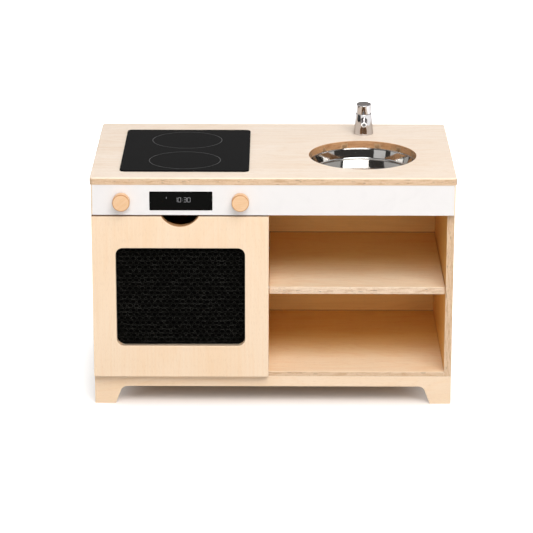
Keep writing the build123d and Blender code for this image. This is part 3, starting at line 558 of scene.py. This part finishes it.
def held(profile, reaches):
    """Add a point beyond each rounded corner of a profile, so that the flats between corners shade flat."""
    hold = 0.4 * MM
    points = []
    for start, end, near, far in zip(profile, profile[1:], reaches, reaches[1:]):
        start, end = Vector(start), Vector(end)
        along = (end - start).normalized()
        points.append((start, near))
        if (end - start).length > near + far + 3 * hold:
            points += [(start + (near + hold) * along, 0)] if near else []
            points += [(end - (far + hold) * along, 0)] if far else []
    return points + [(Vector(profile[-1]), reaches[-1])]


def spun(profile, reaches, place, steps=96):
    """Turn a profile of radius and height about an upright axis, with its corners rounded."""
    shape = bmesh.new()
    points = held(profile, reaches)
    corners = [shape.verts.new((spot.x, 0.0, spot.y)) for spot, _ in points]
    for pair in zip(corners, corners[1:]):
        shape.edges.new(pair)
    for corner, (_, reach) in zip(corners, points):
        if reach:
            bmesh.ops.bevel(shape, geom=[corner], offset=reach, affect="VERTICES", segments=6,
                            profile=0.5, material=-1)
    bmesh.ops.spin(shape, geom=shape.verts[:] + shape.edges[:], cent=(0, 0, 0), axis=(0, 0, 1),
                   dvec=(0, 0, 0), angle=tau, steps=steps, use_merge=True)
    bmesh.ops.remove_doubles(shape, verts=shape.verts, dist=WELD)
    bmesh.ops.recalc_face_normals(shape, faces=shape.faces)
    bmesh.ops.transform(shape, matrix=place, verts=shape.verts)
    return shape


def extent(node):
    """Two corners and the middle of a CAD node's box."""
    low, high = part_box(node)
    return low, high, (low + high) / 2


class KITCHEN_OT_panels(bpy.types.Operator):
    """Finish the plywood panels of the carcass and the door"""

    bl_idname = "kitchen.panels"
    bl_label = "Plywood panels"

    def execute(self, context):
        wood = context.scene.kitchen_wood
        # The inner veneer's colour partly paints the shade inside the kitchen.
        outer, inner = (wood.pale, wood.warm), (wood.inner_shaded_pale, wood.inner_shaded_warm)
        # The worktop's paler veneer paints the sheen on its top.
        top, shelf = (wood.sheen_top_pale, wood.sheen_top_warm), (wood.lit_shelf_pale, wood.lit_shelf_warm)
        panels = (("worktop", "X", "Z", top, (-1.0, *inner)), ("oven_door", "Z", "Y", outer, None),
                  ("front_plinth", "X", "Y", outer, None), ("rear_plinth", "X", "Y", outer, None),
                  ("left_side", "Z", "X", outer, (1.0, *inner)),
                  ("right_side", "Z", "X", outer, (-1.0, *inner)), ("divider", "Z", "X", inner, None),
                  # The shelf and the bottom take the paler veneer, which paints the light on them.
                  ("back_panel", "X", "Y", outer, (-1.0, *inner)), ("shelf", "X", "Z", shelf, None),
                  ("bottom_panel", "X", "Z", shelf, None), ("fascia_board", "X", "Y", outer, (1.0, *inner)),
                  ("mesh_frame", "Z", "Y", inner, None))
        curved = {"worktop": "carcass", "oven_door": "oven_door", "front_plinth": "carcass",
                  "rear_plinth": "carcass", "mesh_frame": "oven_door"}
        round_cuts = {"worktop": (extent("sink_bowl")[2], (0, 1), context.scene.kitchen_sink.cut_out),
                      "oven_door": (self.notch_centre(wood), (0, 2), wood.notch_radius)}
        joint_shadows = {"right_side": ((0, "bottom_panel"),), "back_panel": ((1, "bottom_panel"), (1, "shelf"))}
        figures = {"shelf": 2.4, "bottom_panel": 2.4, "oven_door": 0.9, "front_plinth": 1.5, "worktop": 1.7}
        for seed, (node, grain, thickness, veneer, back) in enumerate(panels):
            material = birch(f"birch {node}", node, grain, thickness, seed, *veneer, back=back,
                             figure=figures.get(node, 1.0), edge=wood.shelf_edge if node == "shelf" else None)
            # Painted shade on the walls of the round cuts.
            if node in round_cuts:
                self.darker_rim(material, *round_cuts[node], wood.darker_rim)
            # Painted shade towards the back of the bay.
            if node in ("shelf", "bottom_panel"):
                self.paint_back_shade(material, wood.deep)
            # Painted shadow in the joints of the bay.
            for axis, board in joint_shadows.get(node, ()):
                self.seam(material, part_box(board), axis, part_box(node)[0][axis])
            if node in curved:
                smoothed(node, material, curved[node])
            else:
                dress(material, node)
        dowel = birch("birch dowel", "carcass_dowels", "X", "Z", len(panels), *inner, solid=True)
        dress(dowel, "carcass_dowels")
        return {"FINISHED"}

    def notch_centre(self, wood):
        """Middle of the circle that the door's finger notch is cut by."""
        low, high, centre = extent("oven_door")
        return Vector((centre.x, low.y, high.z + wood.notch_radius - wood.notch_depth))

    def paint_back_shade(self, material, shade):
        """Paint shade on a board, darker and warmer towards the back of the bay."""
        start, full = -140 * MM, 60 * MM
        bench = NodeBench(material.node_tree)
        bench.tint(bench.step(bench.place()[1], start, full), shade)

    def seam(self, material, board, axis, face):
        """Paint the shadow in the joint where a board meets a face that looks along an axis."""
        bench = NodeBench(material.node_tree)
        place = bench.place()
        low, high = board
        line = bench.times(bench.step(bench.apart(place[2], high.z), 0.6 * MM, 1.6 * MM, 0.85, 0.0),
                           bench.step(bench.apart(place[axis], face), 0.5 * MM, 1.0 * MM, 1.0, 0.0))
        beside = bench.step(place[0], low.x - 1.0 * MM, low.x)
        bench.tint(bench.times(line, beside), (0.25, 0.15, 0.08))

    def darker_rim(self, material, centre, axes, radius, shade):
        """Paint shade on the wall of a round cut."""
        bench = NodeBench(material.node_tree)
        reach = bench.reach(centre, axes)
        bench.tint(bench.step(reach, radius + 0.3 * MM, radius + 1.1 * MM, 1.0, 0.0), shade)


class KITCHEN_OT_knobs(bpy.types.Operator):
    """Turn the two wooden knobs"""

    bl_idname = "kitchen.knobs"
    bl_label = "Turned knobs"

    def execute(self, context):
        wood = context.scene.kitchen_wood
        lie_flat = Matrix.Rotation(pi / 2, 4, "X")
        for seed, (node, lean) in enumerate((("knob_left", radians(40)), ("knob_right", 0.0))):
            low, high, centre = extent(node)
            radius, thickness = (high.x - low.x) / 2, high.y - low.y
            socket, socket_depth = 3.05 * MM, 12.0 * MM
            mouth_ease, back_ease, front_ease = 0.3 * MM, 0.8 * MM, 1.2 * MM
            profile = ((0, socket_depth), (socket, socket_depth), (socket, 0), (radius, 0),
                       (radius, thickness), (0, thickness))
            reaches = (0, 0, mouth_ease, back_ease, front_ease, 0)
            place = Matrix.Translation((centre.x, high.y, centre.z)) @ lie_flat
            material = birch(f"turned birch {node}", node, "X", "Y", 20 + 3 * seed, wood.knob_pale,
                             wood.knob_warm, solid=True, figure=1.3, turn=lean)
            bench = NodeBench(material.node_tree)
            # A darker ring at the rim of the knob's front and its rounding.
            rim = bench.step(bench.reach(centre, (0, 2)), radius - 2.2 * MM, radius - 1.2 * MM)
            front = bench.step(bench.place()[1], low.y + 1.0 * MM, low.y + 2.2 * MM, 1.0, 0.0)
            bench.tint(bench.times(rim, front), wood.darker_rim)
            finish_piece(spun(profile, reaches, place), f"{node}_turned", material, node,
                         replaced=[node])
        return {"FINISHED"}


class KITCHEN_OT_fascia(bpy.types.Operator):
    """Finish the white laminate, and print the clock on its black panel"""

    bl_idname = "kitchen.fascia"
    bl_label = "Fascia and clock"

    bars = {"0": "abcdef", "1": "bc", "2": "abged", "3": "abgcd", "4": "fgbc", "5": "afgcd", "6": "afgedc",
            "7": "abc", "8": "abcdefg", "9": "abcdfg"}
    ends = {"a": ((0, 2), (1, 2)), "b": ((1, 2), (1, 1)), "c": ((1, 1), (1, 0)), "d": ((0, 0), (1, 0)),
            "e": ((0, 0), (0, 1)), "f": ((0, 1), (0, 2)), "g": ((0, 1), (1, 1))}

    def bar(self, shape, start, end, clock, front):
        """One bar of a digit, with rounded ends."""
        along, centre = end - start, (start + end) / 2
        turn = Matrix.Rotation(pi / 2, 4, "Z") if abs(along.y) > abs(along.x) else Matrix()
        made = bmesh.ops.create_cube(shape, size=1.0)["verts"]
        bmesh.ops.scale(shape, vec=(along.length - 0.25 * clock.bar, clock.bar, clock.relief), verts=made)
        corners = [edge for edge in {edge for vert in made for edge in vert.link_edges}
                   if abs((edge.verts[0].co - edge.verts[1].co).z) > 0.5 * clock.relief]
        rounded = bmesh.ops.bevel(shape, geom=corners, offset=0.46 * clock.bar, affect="EDGES",
                                  segments=2, profile=0.5, material=-1)
        whole = {vert for face in rounded["faces"] for vert in face.verts}
        whole |= {vert for seed in list(whole) for edge in seed.link_edges for vert in edge.verts}
        stand = Matrix.Translation(front) @ Matrix.Rotation(pi / 2, 4, "X")
        place = stand @ Matrix.Translation((*centre, 0.0)) @ turn
        bmesh.ops.transform(shape, matrix=place, verts=list(whole))

    def execute(self, context):
        clock = context.scene.kitchen_clock
        white = coated("white laminate", (0.82, 0.79, 0.775), 0.38, 0.10, specular=0.35,
                       grain_depth=0.02 * MM)
        dress(white, "fascia_laminate")

        low, high, centre = extent("display_panel")
        black = coated("clock panel", (0.0027, 0.0027, 0.0024), 0.20, 0.06, specular=0.025)
        bench = NodeBench(black.node_tree)
        place, soft = bench.place(), 0.4 * MM
        half = (high - low) / 2 - Vector((1.0, 1.0, 1.0)) * clock.border
        inside = [bench.step(bench.apart(place[axis], centre[axis]), half[axis] - soft, half[axis], 1.0, 0.0)
                  for axis in (0, 2)]
        on_border = bench.math("SUBTRACT", 1.0, bench.times(*inside))
        bench.tint(on_border, (0.0006, 0.0006, 0.0006), "MIX")
        dress(black, "display_panel")

        width, height = clock.width, clock.height
        narrow = {":": 0.35, "1": 0.62}
        advance = {sign: narrow.get(sign, 1.0) * width for sign in clock.digits}
        shape = bmesh.new()
        pen = (clock.gap - sum(advance[sign] + clock.gap for sign in clock.digits)) / 2
        front = Vector((centre.x + clock.offset, low.y - clock.relief / 2,
                        centre.z + clock.rise - height / 2))
        for sign in clock.digits:
            shift = Vector((pen - (width - advance[sign] if sign == "1" else 0.0), 0.0))
            if sign == ":":
                reach = Vector((0.62 * clock.bar, 0.0))
                for level in (0.3, 0.7):
                    dot = shift + Vector((advance[sign] / 2, level * height))
                    self.bar(shape, dot - reach, dot + reach, clock, front)
            else:
                for letter in self.bars[sign]:
                    start, end = (shift + Vector((across * width, up * height / 2))
                                  for across, up in self.ends[letter])
                    self.bar(shape, start, end, clock, front)
            pen += advance[sign] + clock.gap
        mark = Vector((-clock.mark - clock.offset, 0.72 * height))
        self.bar(shape, mark, mark + Vector((0.0, 0.48 * height)), clock, front)
        bmesh.ops.recalc_face_normals(shape, faces=shape.faces)
        finish_piece(shape, "clock_digits", coated("clock digits", clock.grey, 0.5, 0.1), "carcass")
        return {"FINISHED"}


class KITCHEN_OT_hob(bpy.types.Operator):
    """Print the two rings on the black hob panel"""

    bl_idname = "kitchen.hob"
    bl_label = "Hob panel"

    def execute(self, context):
        hob = context.scene.kitchen_hob
        centre = extent("hob_panel")[2]
        material = coated("hob panel", hob.black, 0.24, 0.03, specular=0.006)
        bench = NodeBench(material.node_tree)
        place = bench.place()
        across = bench.math("SUBTRACT", place[0], centre.x + hob.ring_offset)
        back = bench.apart(place[1], centre.y + hob.ring_setback)
        along = bench.math("SUBTRACT", back, hob.ring_spacing / 2)
        reach = bench.diagonal(bench.math("DIVIDE", across, hob.ring_width),
                               bench.math("DIVIDE", along, hob.ring_depth))
        half_line = hob.line / 2 / hob.ring_depth
        line = bench.step(bench.apart(reach, 1.0), 0.7 * half_line, 1.2 * half_line, 1.0, 0.0)
        bench.tint(line, hob.grey, "MIX")
        smoothed("hob_panel", material, "carcass")
        return {"FINISHED"}


class KITCHEN_OT_sink(bpy.types.Operator):
    """Spin the polished steel bowl"""

    bl_idname = "kitchen.sink"
    bl_label = "Sink bowl"

    def execute(self, context):
        sink = context.scene.kitchen_sink
        low, high, centre = extent("sink_bowl")
        flange, top, sheet = (high.x - low.x) / 2, high.z, sink.sheet
        bottom = low.z + sheet
        bead, under_bead = sink.cut_out - sink.bead, top - sink.bead_height
        inside = [(flange, top), (bead, top), (bead, under_bead),
                  (sink.mouth - sink.bead, under_bead - sink.bead), (sink.floor_radius, bottom),
                  (0.0, bottom)]
        outside = [(0.0, low.z), (sink.floor_radius + sheet, low.z), (sink.mouth + sheet, top - sheet),
                   (flange, top - sheet), (flange, top)]
        rolled = 0.45 * sink.bead_height
        reaches = [0, rolled, rolled, 0, sink.bend, 0, 0, sink.bend, sink.lip, 0, 0]
        material = spun_steel("polished bowl", sink.steel, centre[:2], 0.045, 0.04)
        shape = spun(inside + outside, reaches, Matrix.Translation((centre.x, centre.y, 0.0)), steps=144)
        finish_piece(shape, "sink_bowl_spun", material, "carcass", radians(40),
                     ["sink_bowl"])
        return {"FINISHED"}


class KITCHEN_OT_tap(bpy.types.Operator):
    """Turn the tap's chrome body with its nose, and its push cap"""

    bl_idname = "kitchen.tap"
    bl_label = "Push tap"

    def execute(self, context):
        tap = context.scene.kitchen_tap
        foot, shoulder = (corner.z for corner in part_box("tap_body"))
        low, high, centre = extent("tap_cap")
        upright = Matrix.Translation((centre.x, centre.y, 0.0))
        chrome = spun_steel("chrome", tap.chrome, centre[:2], 0.035, 0.035, tap.rim)
        ease = tap.easing
        outer = ((0, foot), (tap.base_radius, foot), (tap.base_radius, foot + tap.base_lip),
                 (tap.waist_radius, foot + tap.waist_height), (tap.shoulder_radius, shoulder), (0, shoulder))
        body = finish_piece(spun(outer, (0, 0.3 * ease, 0.3 * ease, 4.0 * ease, 0.4 * ease, 0), upright, 128),
                            "tap_body_turned", chrome, "carcass", replaced=["tap_body"])

        start = Vector((centre.x, centre.y - tap.nose_start, foot + tap.nose_start_height))
        tip = Vector((centre.x, centre.y - tap.nose_reach, foot + tap.nose_tip_height))
        reach = (tip - start).length
        aim = Matrix.Translation(start) @ (tip - start).to_track_quat("Z", "X").to_matrix().to_4x4()
        hollow = 5.0 * MM
        nose = spun(((0, 0), (tap.nose_root, 0), (tap.nose_tip, reach), (tap.nose_bore, reach),
                     (tap.nose_bore, reach - hollow), (0, reach - hollow)),
                    (0, 0, 0.8 * ease, 0.3 * ease, 0, 0), aim, 64)
        bottom, above = shoulder - tap.bore_depth, shoulder + ease
        bore = spun(((0, bottom), (tap.bore, bottom), (tap.bore, above), (0, above)), (0, 0, 0, 0), upright,
                    128)
        cutters = {"UNION": set_down(nose, "nose"), "DIFFERENCE": set_down(bore, "bore")}
        for operation, cutter in cutters.items():
            modifier = body.modifiers.new(operation, "BOOLEAN")
            modifier.operation, modifier.object, modifier.solver = operation, cutter, "EXACT"
        context.view_layer.update()
        joined = bpy.data.meshes.new_from_object(body.evaluated_get(context.evaluated_depsgraph_get()))
        body.modifiers.clear()
        body.data = joined
        joined.shade_smooth()
        joined.set_sharp_from_angle(angle=radians(40))
        for cutter in cutters.values():
            bpy.data.objects.remove(cutter)

        radius = (high.x - low.x) / 2
        inner, under_crown = radius - tap.cap_wall, high.z - tap.cap_crown
        cap = ((0, under_crown), (inner, under_crown), (inner, low.z), (radius, low.z), (radius, high.z),
               (0, high.z))
        turned = spun(cap, (0, 0.5 * ease, 0.3 * ease, 0.3 * ease, 0, 0), upright, 128)
        back = Vector((centre.x, centre.y + radius, high.z - 0.1 * ease))
        self.slope_top(turned, back, tap.slant, 0.8 * ease)
        finish_piece(turned, "tap_cap_turned", chrome, "tap_cap", replaced=["tap_cap"])
        grey = coated("aerator grey", (0.40, 0.395, 0.385), 0.4, 0.15, grain_depth=0.02 * MM)
        dress(grey, "tap_aerator")
        return {"FINISHED"}

    def slope_top(self, shape, back, slant, bevel):
        """Cut a top that slopes to the front from a point at the back, and round its rim.

        A loop on each side of the rim keeps the shading of the top and the wall level.
        """
        up, hold = Vector((0.0, -sin(slant), cos(slant))), 1.5 * bevel
        for drop, clear in ((hold, False), (0.0, True)):
            cut = bmesh.ops.bisect_plane(shape, geom=[*shape.verts, *shape.edges, *shape.faces],
                                         plane_co=back - drop * up, plane_no=up, clear_outer=clear)
        rim = [part for part in cut["geom_cut"] if isinstance(part, bmesh.types.BMEdge)]
        top = bmesh.ops.edgeloop_fill(shape, edges=rim)["faces"]
        bmesh.ops.inset_individual(shape, faces=top, thickness=hold)
        bmesh.ops.bevel(shape, geom=rim, offset=bevel, affect="EDGES", segments=3, profile=0.5, material=-1)
        bmesh.ops.recalc_face_normals(shape, faces=shape.faces)


class KITCHEN_OT_net(bpy.types.Operator):
    """Net the oven door's window: a face of strands on a fine backing, a near-black sheet that paints the
    shade behind the gaps
    """

    bl_idname = "kitchen.net"
    bl_label = "Window net"

    def fabric(self, name, black, fibres, dashes, lift):
        """Matt black yarn with painted highlights in short dashes, where it would catch the light."""
        material, bench = new_material(name)
        fibre = bench.noise(bench.spot(), fibres, detail=3.0)
        dash = bench.step(bench.noise(bench.spot(), dashes, detail=1.0), 0.45, 0.72)
        painted_highlight = bench.times(dash, bench.step(fibre, 0.2, 0.7, 0.6, 1.0))
        bench.shade({"Base Color": bench.mix(painted_highlight, tuple(black), tuple(lift * part for part in black)),
                     "Roughness": bench.step(fibre, 0.3, 0.8, 0.55, 0.8),
                     "Normal": bench.bump(fibre, 0.2 * MM, 0.6), "Specular IOR Level": 0.01})
        return material

    def execute(self, context):
        net = context.scene.kitchen_net
        noise.seed_set(net.seed)
        low, high, centre = extent("window_mesh")
        width, height = high.x - low.x, high.z - low.z
        stand = Matrix.Translation((centre.x, high.y, centre.z)) @ Matrix.Rotation(pi / 2, 4, "X")
        shape = bmesh.new()
        squeeze = net.strand / net.row_strand
        cell = Matrix.Diagonal((net.pitch / (2 * cos(pi / 6)), squeeze * net.row_pitch / 1.5, 1.0, 1.0))
        for row in range(net.rows):
            for column in range(net.columns):
                spot = Vector((net.pitch * (column - net.columns / 2 + 0.25 + 0.5 * (row % 2)),
                               squeeze * net.row_pitch * (row - (net.rows - 1) / 2), 0.0))
                place = Matrix.Translation(spot) @ cell @ Matrix.Rotation(pi / 6, 4, "Z")
                bmesh.ops.create_circle(shape, cap_ends=True, radius=1.0, segments=6, matrix=place)
        bmesh.ops.remove_doubles(shape, verts=shape.verts, dist=0.1 * MM)
        broad, fine = 30.0, 150.0
        for vert in shape.verts:
            sway = (net.wander * noise.noise_vector(broad * vert.co)
                    + net.stray * noise.noise_vector(fine * vert.co))
            vert.co += Vector((sway.x, squeeze * sway.y, 0.0))
        gaps = shape.faces[:]
        bmesh.ops.inset_individual(shape, faces=gaps, thickness=net.strand / 2, use_even_offset=True)
        bmesh.ops.delete(shape, geom=gaps, context="FACES_ONLY")
        bmesh.ops.scale(shape, vec=(1.0, 1.0 / squeeze, 1.0), verts=shape.verts)
        bmesh.ops.solidify(shape, geom=shape.faces[:], thickness=net.thickness)
        bmesh.ops.recalc_face_normals(shape, faces=shape.faces)
        lift = Matrix.Translation((0.0, 0.0, net.backing + net.thickness))
        bmesh.ops.transform(shape, matrix=stand @ lift, verts=shape.verts)
        yarn = self.fabric("black yarn", net.black, (2300.0, 900.0, 2300.0), (75.0, 75.0, 260.0), 3.6)
        strands = finish_piece(shape, "window_net", yarn, "oven_door", pi, ["window_mesh"])
        rounder = strands.modifiers.new("Rounded strands", "SUBSURF")
        rounder.levels = rounder.render_levels = 1

        # Painted shade: a near-black sheet behind the strands, for the shade seen through the gaps.
        shape = bmesh.new()
        bmesh.ops.create_grid(shape, x_segments=24, y_segments=20, size=0.5)
        bmesh.ops.scale(shape, vec=(width, height, 1.0), verts=shape.verts)
        bmesh.ops.solidify(shape, geom=shape.faces[:], thickness=net.backing)
        bmesh.ops.recalc_face_normals(shape, faces=shape.faces)
        lift = Matrix.Translation((0.0, 0.0, net.backing))
        bmesh.ops.transform(shape, matrix=stand @ lift, verts=shape.verts)
        weave = self.fabric("black backing", net.shade_backing_black, (3000.0, 3000.0, 3000.0),
                            (190.0, 190.0, 230.0), 12.0)
        backing = finish_piece(shape, "window_net_shade_backing", weave, "oven_door")
        return {"FINISHED"}


class KITCHEN_OT_hardware(bpy.types.Operator):
    """Finish the hinges, screws, magnets, bushes and the tap's fixings"""

    bl_idname = "kitchen.hardware"
    bl_label = "Hardware"

    def execute(self, context):
        slots = {entry["node"]: entry["material_slot"] for entry in frame["record"]["subparts"]}
        zinc = coated("zinc plate", (0.62, 0.63, 0.65), 0.30, 0.22, grain_depth=0.01 * MM, metallic=1.0)
        nickel = coated("nickel plate", (0.66, 0.63, 0.58), 0.18, 0.15, metallic=1.0)
        nylon = coated("nylon", (0.78, 0.77, 0.73), 0.42, 0.14, grain_depth=0.02 * MM)
        for slot, material in (("zinc_steel", zinc), ("nickel_magnet", nickel), ("nylon_bush", nylon)):
            dress(material, *(node for node, used in slots.items() if used == slot))

        # The return spring, which shortens as the cap comes down, gets a mesh of its own
        spring = smoothed("tap_spring", zinc, "carcass")
        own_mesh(spring)
        return {"FINISHED"}


class KITCHEN_OT_stage(bpy.types.Operator):
    """Set up the pale floor, the soft lamps and the camera"""

    bl_idname = "kitchen.stage"
    bl_label = "Studio"

    lamps = (("key", (1.2, -3.6, 4.4), (4.6, 3.0), 268.0), ("front", (-0.3, -4.6, 2.9), (2.6, 1.2), 18.0),
             ("low", (0.3, -3.4, 0.6), (2.0, 0.6), 17.0), ("window", (-2.5, -3.2, 1.5), (2.0, 2.0), 8.0),
             ("left", (-3.0, -0.3, 1.9), (2.6, 2.6), 12.0), ("right", (3.0, -0.3, 1.9), (2.6, 2.6), 12.0),
             ("top", (0.1, 0.3, 3.2), (2.6, 2.0), 13.0), ("rear", (0.3, 2.5, 3.0), (2.0, 1.4), 13.0),
             ("behind", (0.0, 3.0, 0.22), (2.4, 0.3), 34.0))
    aim = Vector((0.0, 0.0, 0.28))

    def execute(self, context):
        stage = context.scene.kitchen_stage
        for name, place, size, power in self.lamps:
            lamp = bpy.data.lights.new(f"lamp {name}", "AREA")
            lamp.shape, lamp.size, lamp.size_y, lamp.energy = "RECTANGLE", size[0], size[1], power
            holder = bpy.data.objects.new(f"lamp {name}", lamp)
            aim = (self.aim - Vector(place)).to_track_quat("-Z", "Y").to_matrix().to_4x4()
            holder.matrix_world = Matrix.Translation(place) @ aim
            context.scene.collection.objects.link(holder)

        shape = bmesh.new()
        bmesh.ops.create_circle(shape, cap_ends=True, radius=30.0, segments=64)
        floor = set_down(shape, "floor")
        material, bench = new_material("pale floor")
        place = bench.place()
        beside = [bench.math("SUBTRACT", bench.math("ABSOLUTE", place[axis]), cad_high[axis])
                  for axis in (0, 1)]
        away = bench.math("MAXIMUM", *beside)
        seen = self.seen(bench)
        # Painted shade under the kitchen.
        shown = bench.mix(bench.step(away, -0.10, 0.05), tuple(stage.under), tuple(stage.floor))
        # Painted light: for camera and mirror rays the floor glows white away from the kitchen, and the glow
        # fades out towards and under it, which paints the soft edge of its shadow.
        glow = bench.times(seen, bench.step(away, -0.13, 0.12, 0.0, 0.80))
        bench.shade({"Base Color": bench.mix(seen, tuple(stage.bounce), shown), "Roughness": 0.9,
                     "Specular IOR Level": 0.0, "Emission Color": (1.0, 1.0, 1.0), "Emission Strength": glow})
        floor.data.materials.append(material)

        world = bpy.data.worlds.new("studio")
        context.scene.world = world
        world.use_nodes = True
        bench = NodeBench(world.node_tree)
        way = bench.split(bench.add("ShaderNodeTexCoord").outputs["Generated"])
        walls = bench.mix(bench.step(way[1], -0.2, 0.5), (0.05, 0.047, 0.044), (0.46, 0.45, 0.45))
        room = bench.mix(bench.step(way[2], 0.40, 0.75), walls, (0.06, 0.057, 0.054))
        room = bench.mix(bench.step(way[2], 0.02, 0.12), (1.0, 1.0, 1.0), room)
        shown = bench.add("ShaderNodeBackground", {"Color": room, "Strength": 1.0})
        around = bench.add("ShaderNodeBackground", {"Color": (1.0, 1.0, 1.0), "Strength": stage.ambient})
        mixed = bench.add("ShaderNodeMixShader", {0: self.seen(bench), 1: around.outputs[0],
                                                  2: shown.outputs[0]})
        bench.feed(world.node_tree.nodes["World Output"].inputs["Surface"], mixed.outputs[0])

        camera = bpy.data.objects.new("camera", bpy.data.cameras.new("camera"))
        camera.data.lens, camera.data.sensor_width, camera.data.clip_end = stage.lens, 36.0, 100.0
        camera.matrix_world = (Matrix.Translation(stage.place) @ Matrix.Rotation(stage.turn, 4, "Z")
                               @ Matrix.Rotation(pi / 2 - stage.tilt, 4, "X")
                               @ Matrix.Rotation(stage.roll, 4, "Z"))
        context.scene.collection.objects.link(camera)
        context.scene.camera = camera
        context.scene.view_settings.view_transform = "Standard"
        return {"FINISHED"}

    def seen(self, bench):
        """1 for rays that show the background: straight, mirrored and through glass."""
        rays = bench.add("ShaderNodeLightPath").outputs
        return bench.math("MAXIMUM", rays["Is Camera Ray"], bench.math("MAXIMUM", rays["Is Glossy Ray"],
                                                                       rays["Is Transmission Ray"]))


class KITCHEN_PT_looks(bpy.types.Panel):
    """Lists the pieces of the toy kitchen with their sizes and colours"""

    bl_idname = "KITCHEN_PT_looks"
    bl_label = "Toy Kitchen"
    bl_space_type = "VIEW_3D"
    bl_region_type = "UI"
    bl_category = "Toy Kitchen"

    def draw(self, context):
        for operator in OPERATORS:
            self.layout.operator(operator.bl_idname)
        for name, group in SETTINGS.items():
            box = self.layout.box()
            for entry in group.__annotations__:
                box.prop(getattr(context.scene, name), entry)


SETTINGS = {"kitchen_wood": WoodSettings, "kitchen_hob": HobSettings, "kitchen_clock": ClockSettings,
            "kitchen_sink": SinkSettings, "kitchen_tap": TapSettings, "kitchen_net": NetSettings,
            "kitchen_stage": StageSettings}
OPERATORS = (KITCHEN_OT_panels, KITCHEN_OT_knobs, KITCHEN_OT_fascia, KITCHEN_OT_hob, KITCHEN_OT_sink,
             KITCHEN_OT_tap, KITCHEN_OT_net, KITCHEN_OT_hardware, KITCHEN_OT_stage)


def register():
    for group in (*SETTINGS.values(), *OPERATORS, KITCHEN_PT_looks):
        bpy.utils.register_class(group)
    for name, group in SETTINGS.items():
        setattr(bpy.types.Scene, name, PointerProperty(type=group))


def unregister():
    for name in SETTINGS:
        delattr(bpy.types.Scene, name)
    for group in reversed((*SETTINGS.values(), *OPERATORS, KITCHEN_PT_looks)):
        bpy.utils.unregister_class(group)


def main():
    register()
    for operator in OPERATORS:
        module, name = operator.bl_idname.split(".")
        getattr(getattr(bpy.ops, module), name)()


if __name__ == "__main__":
    main()
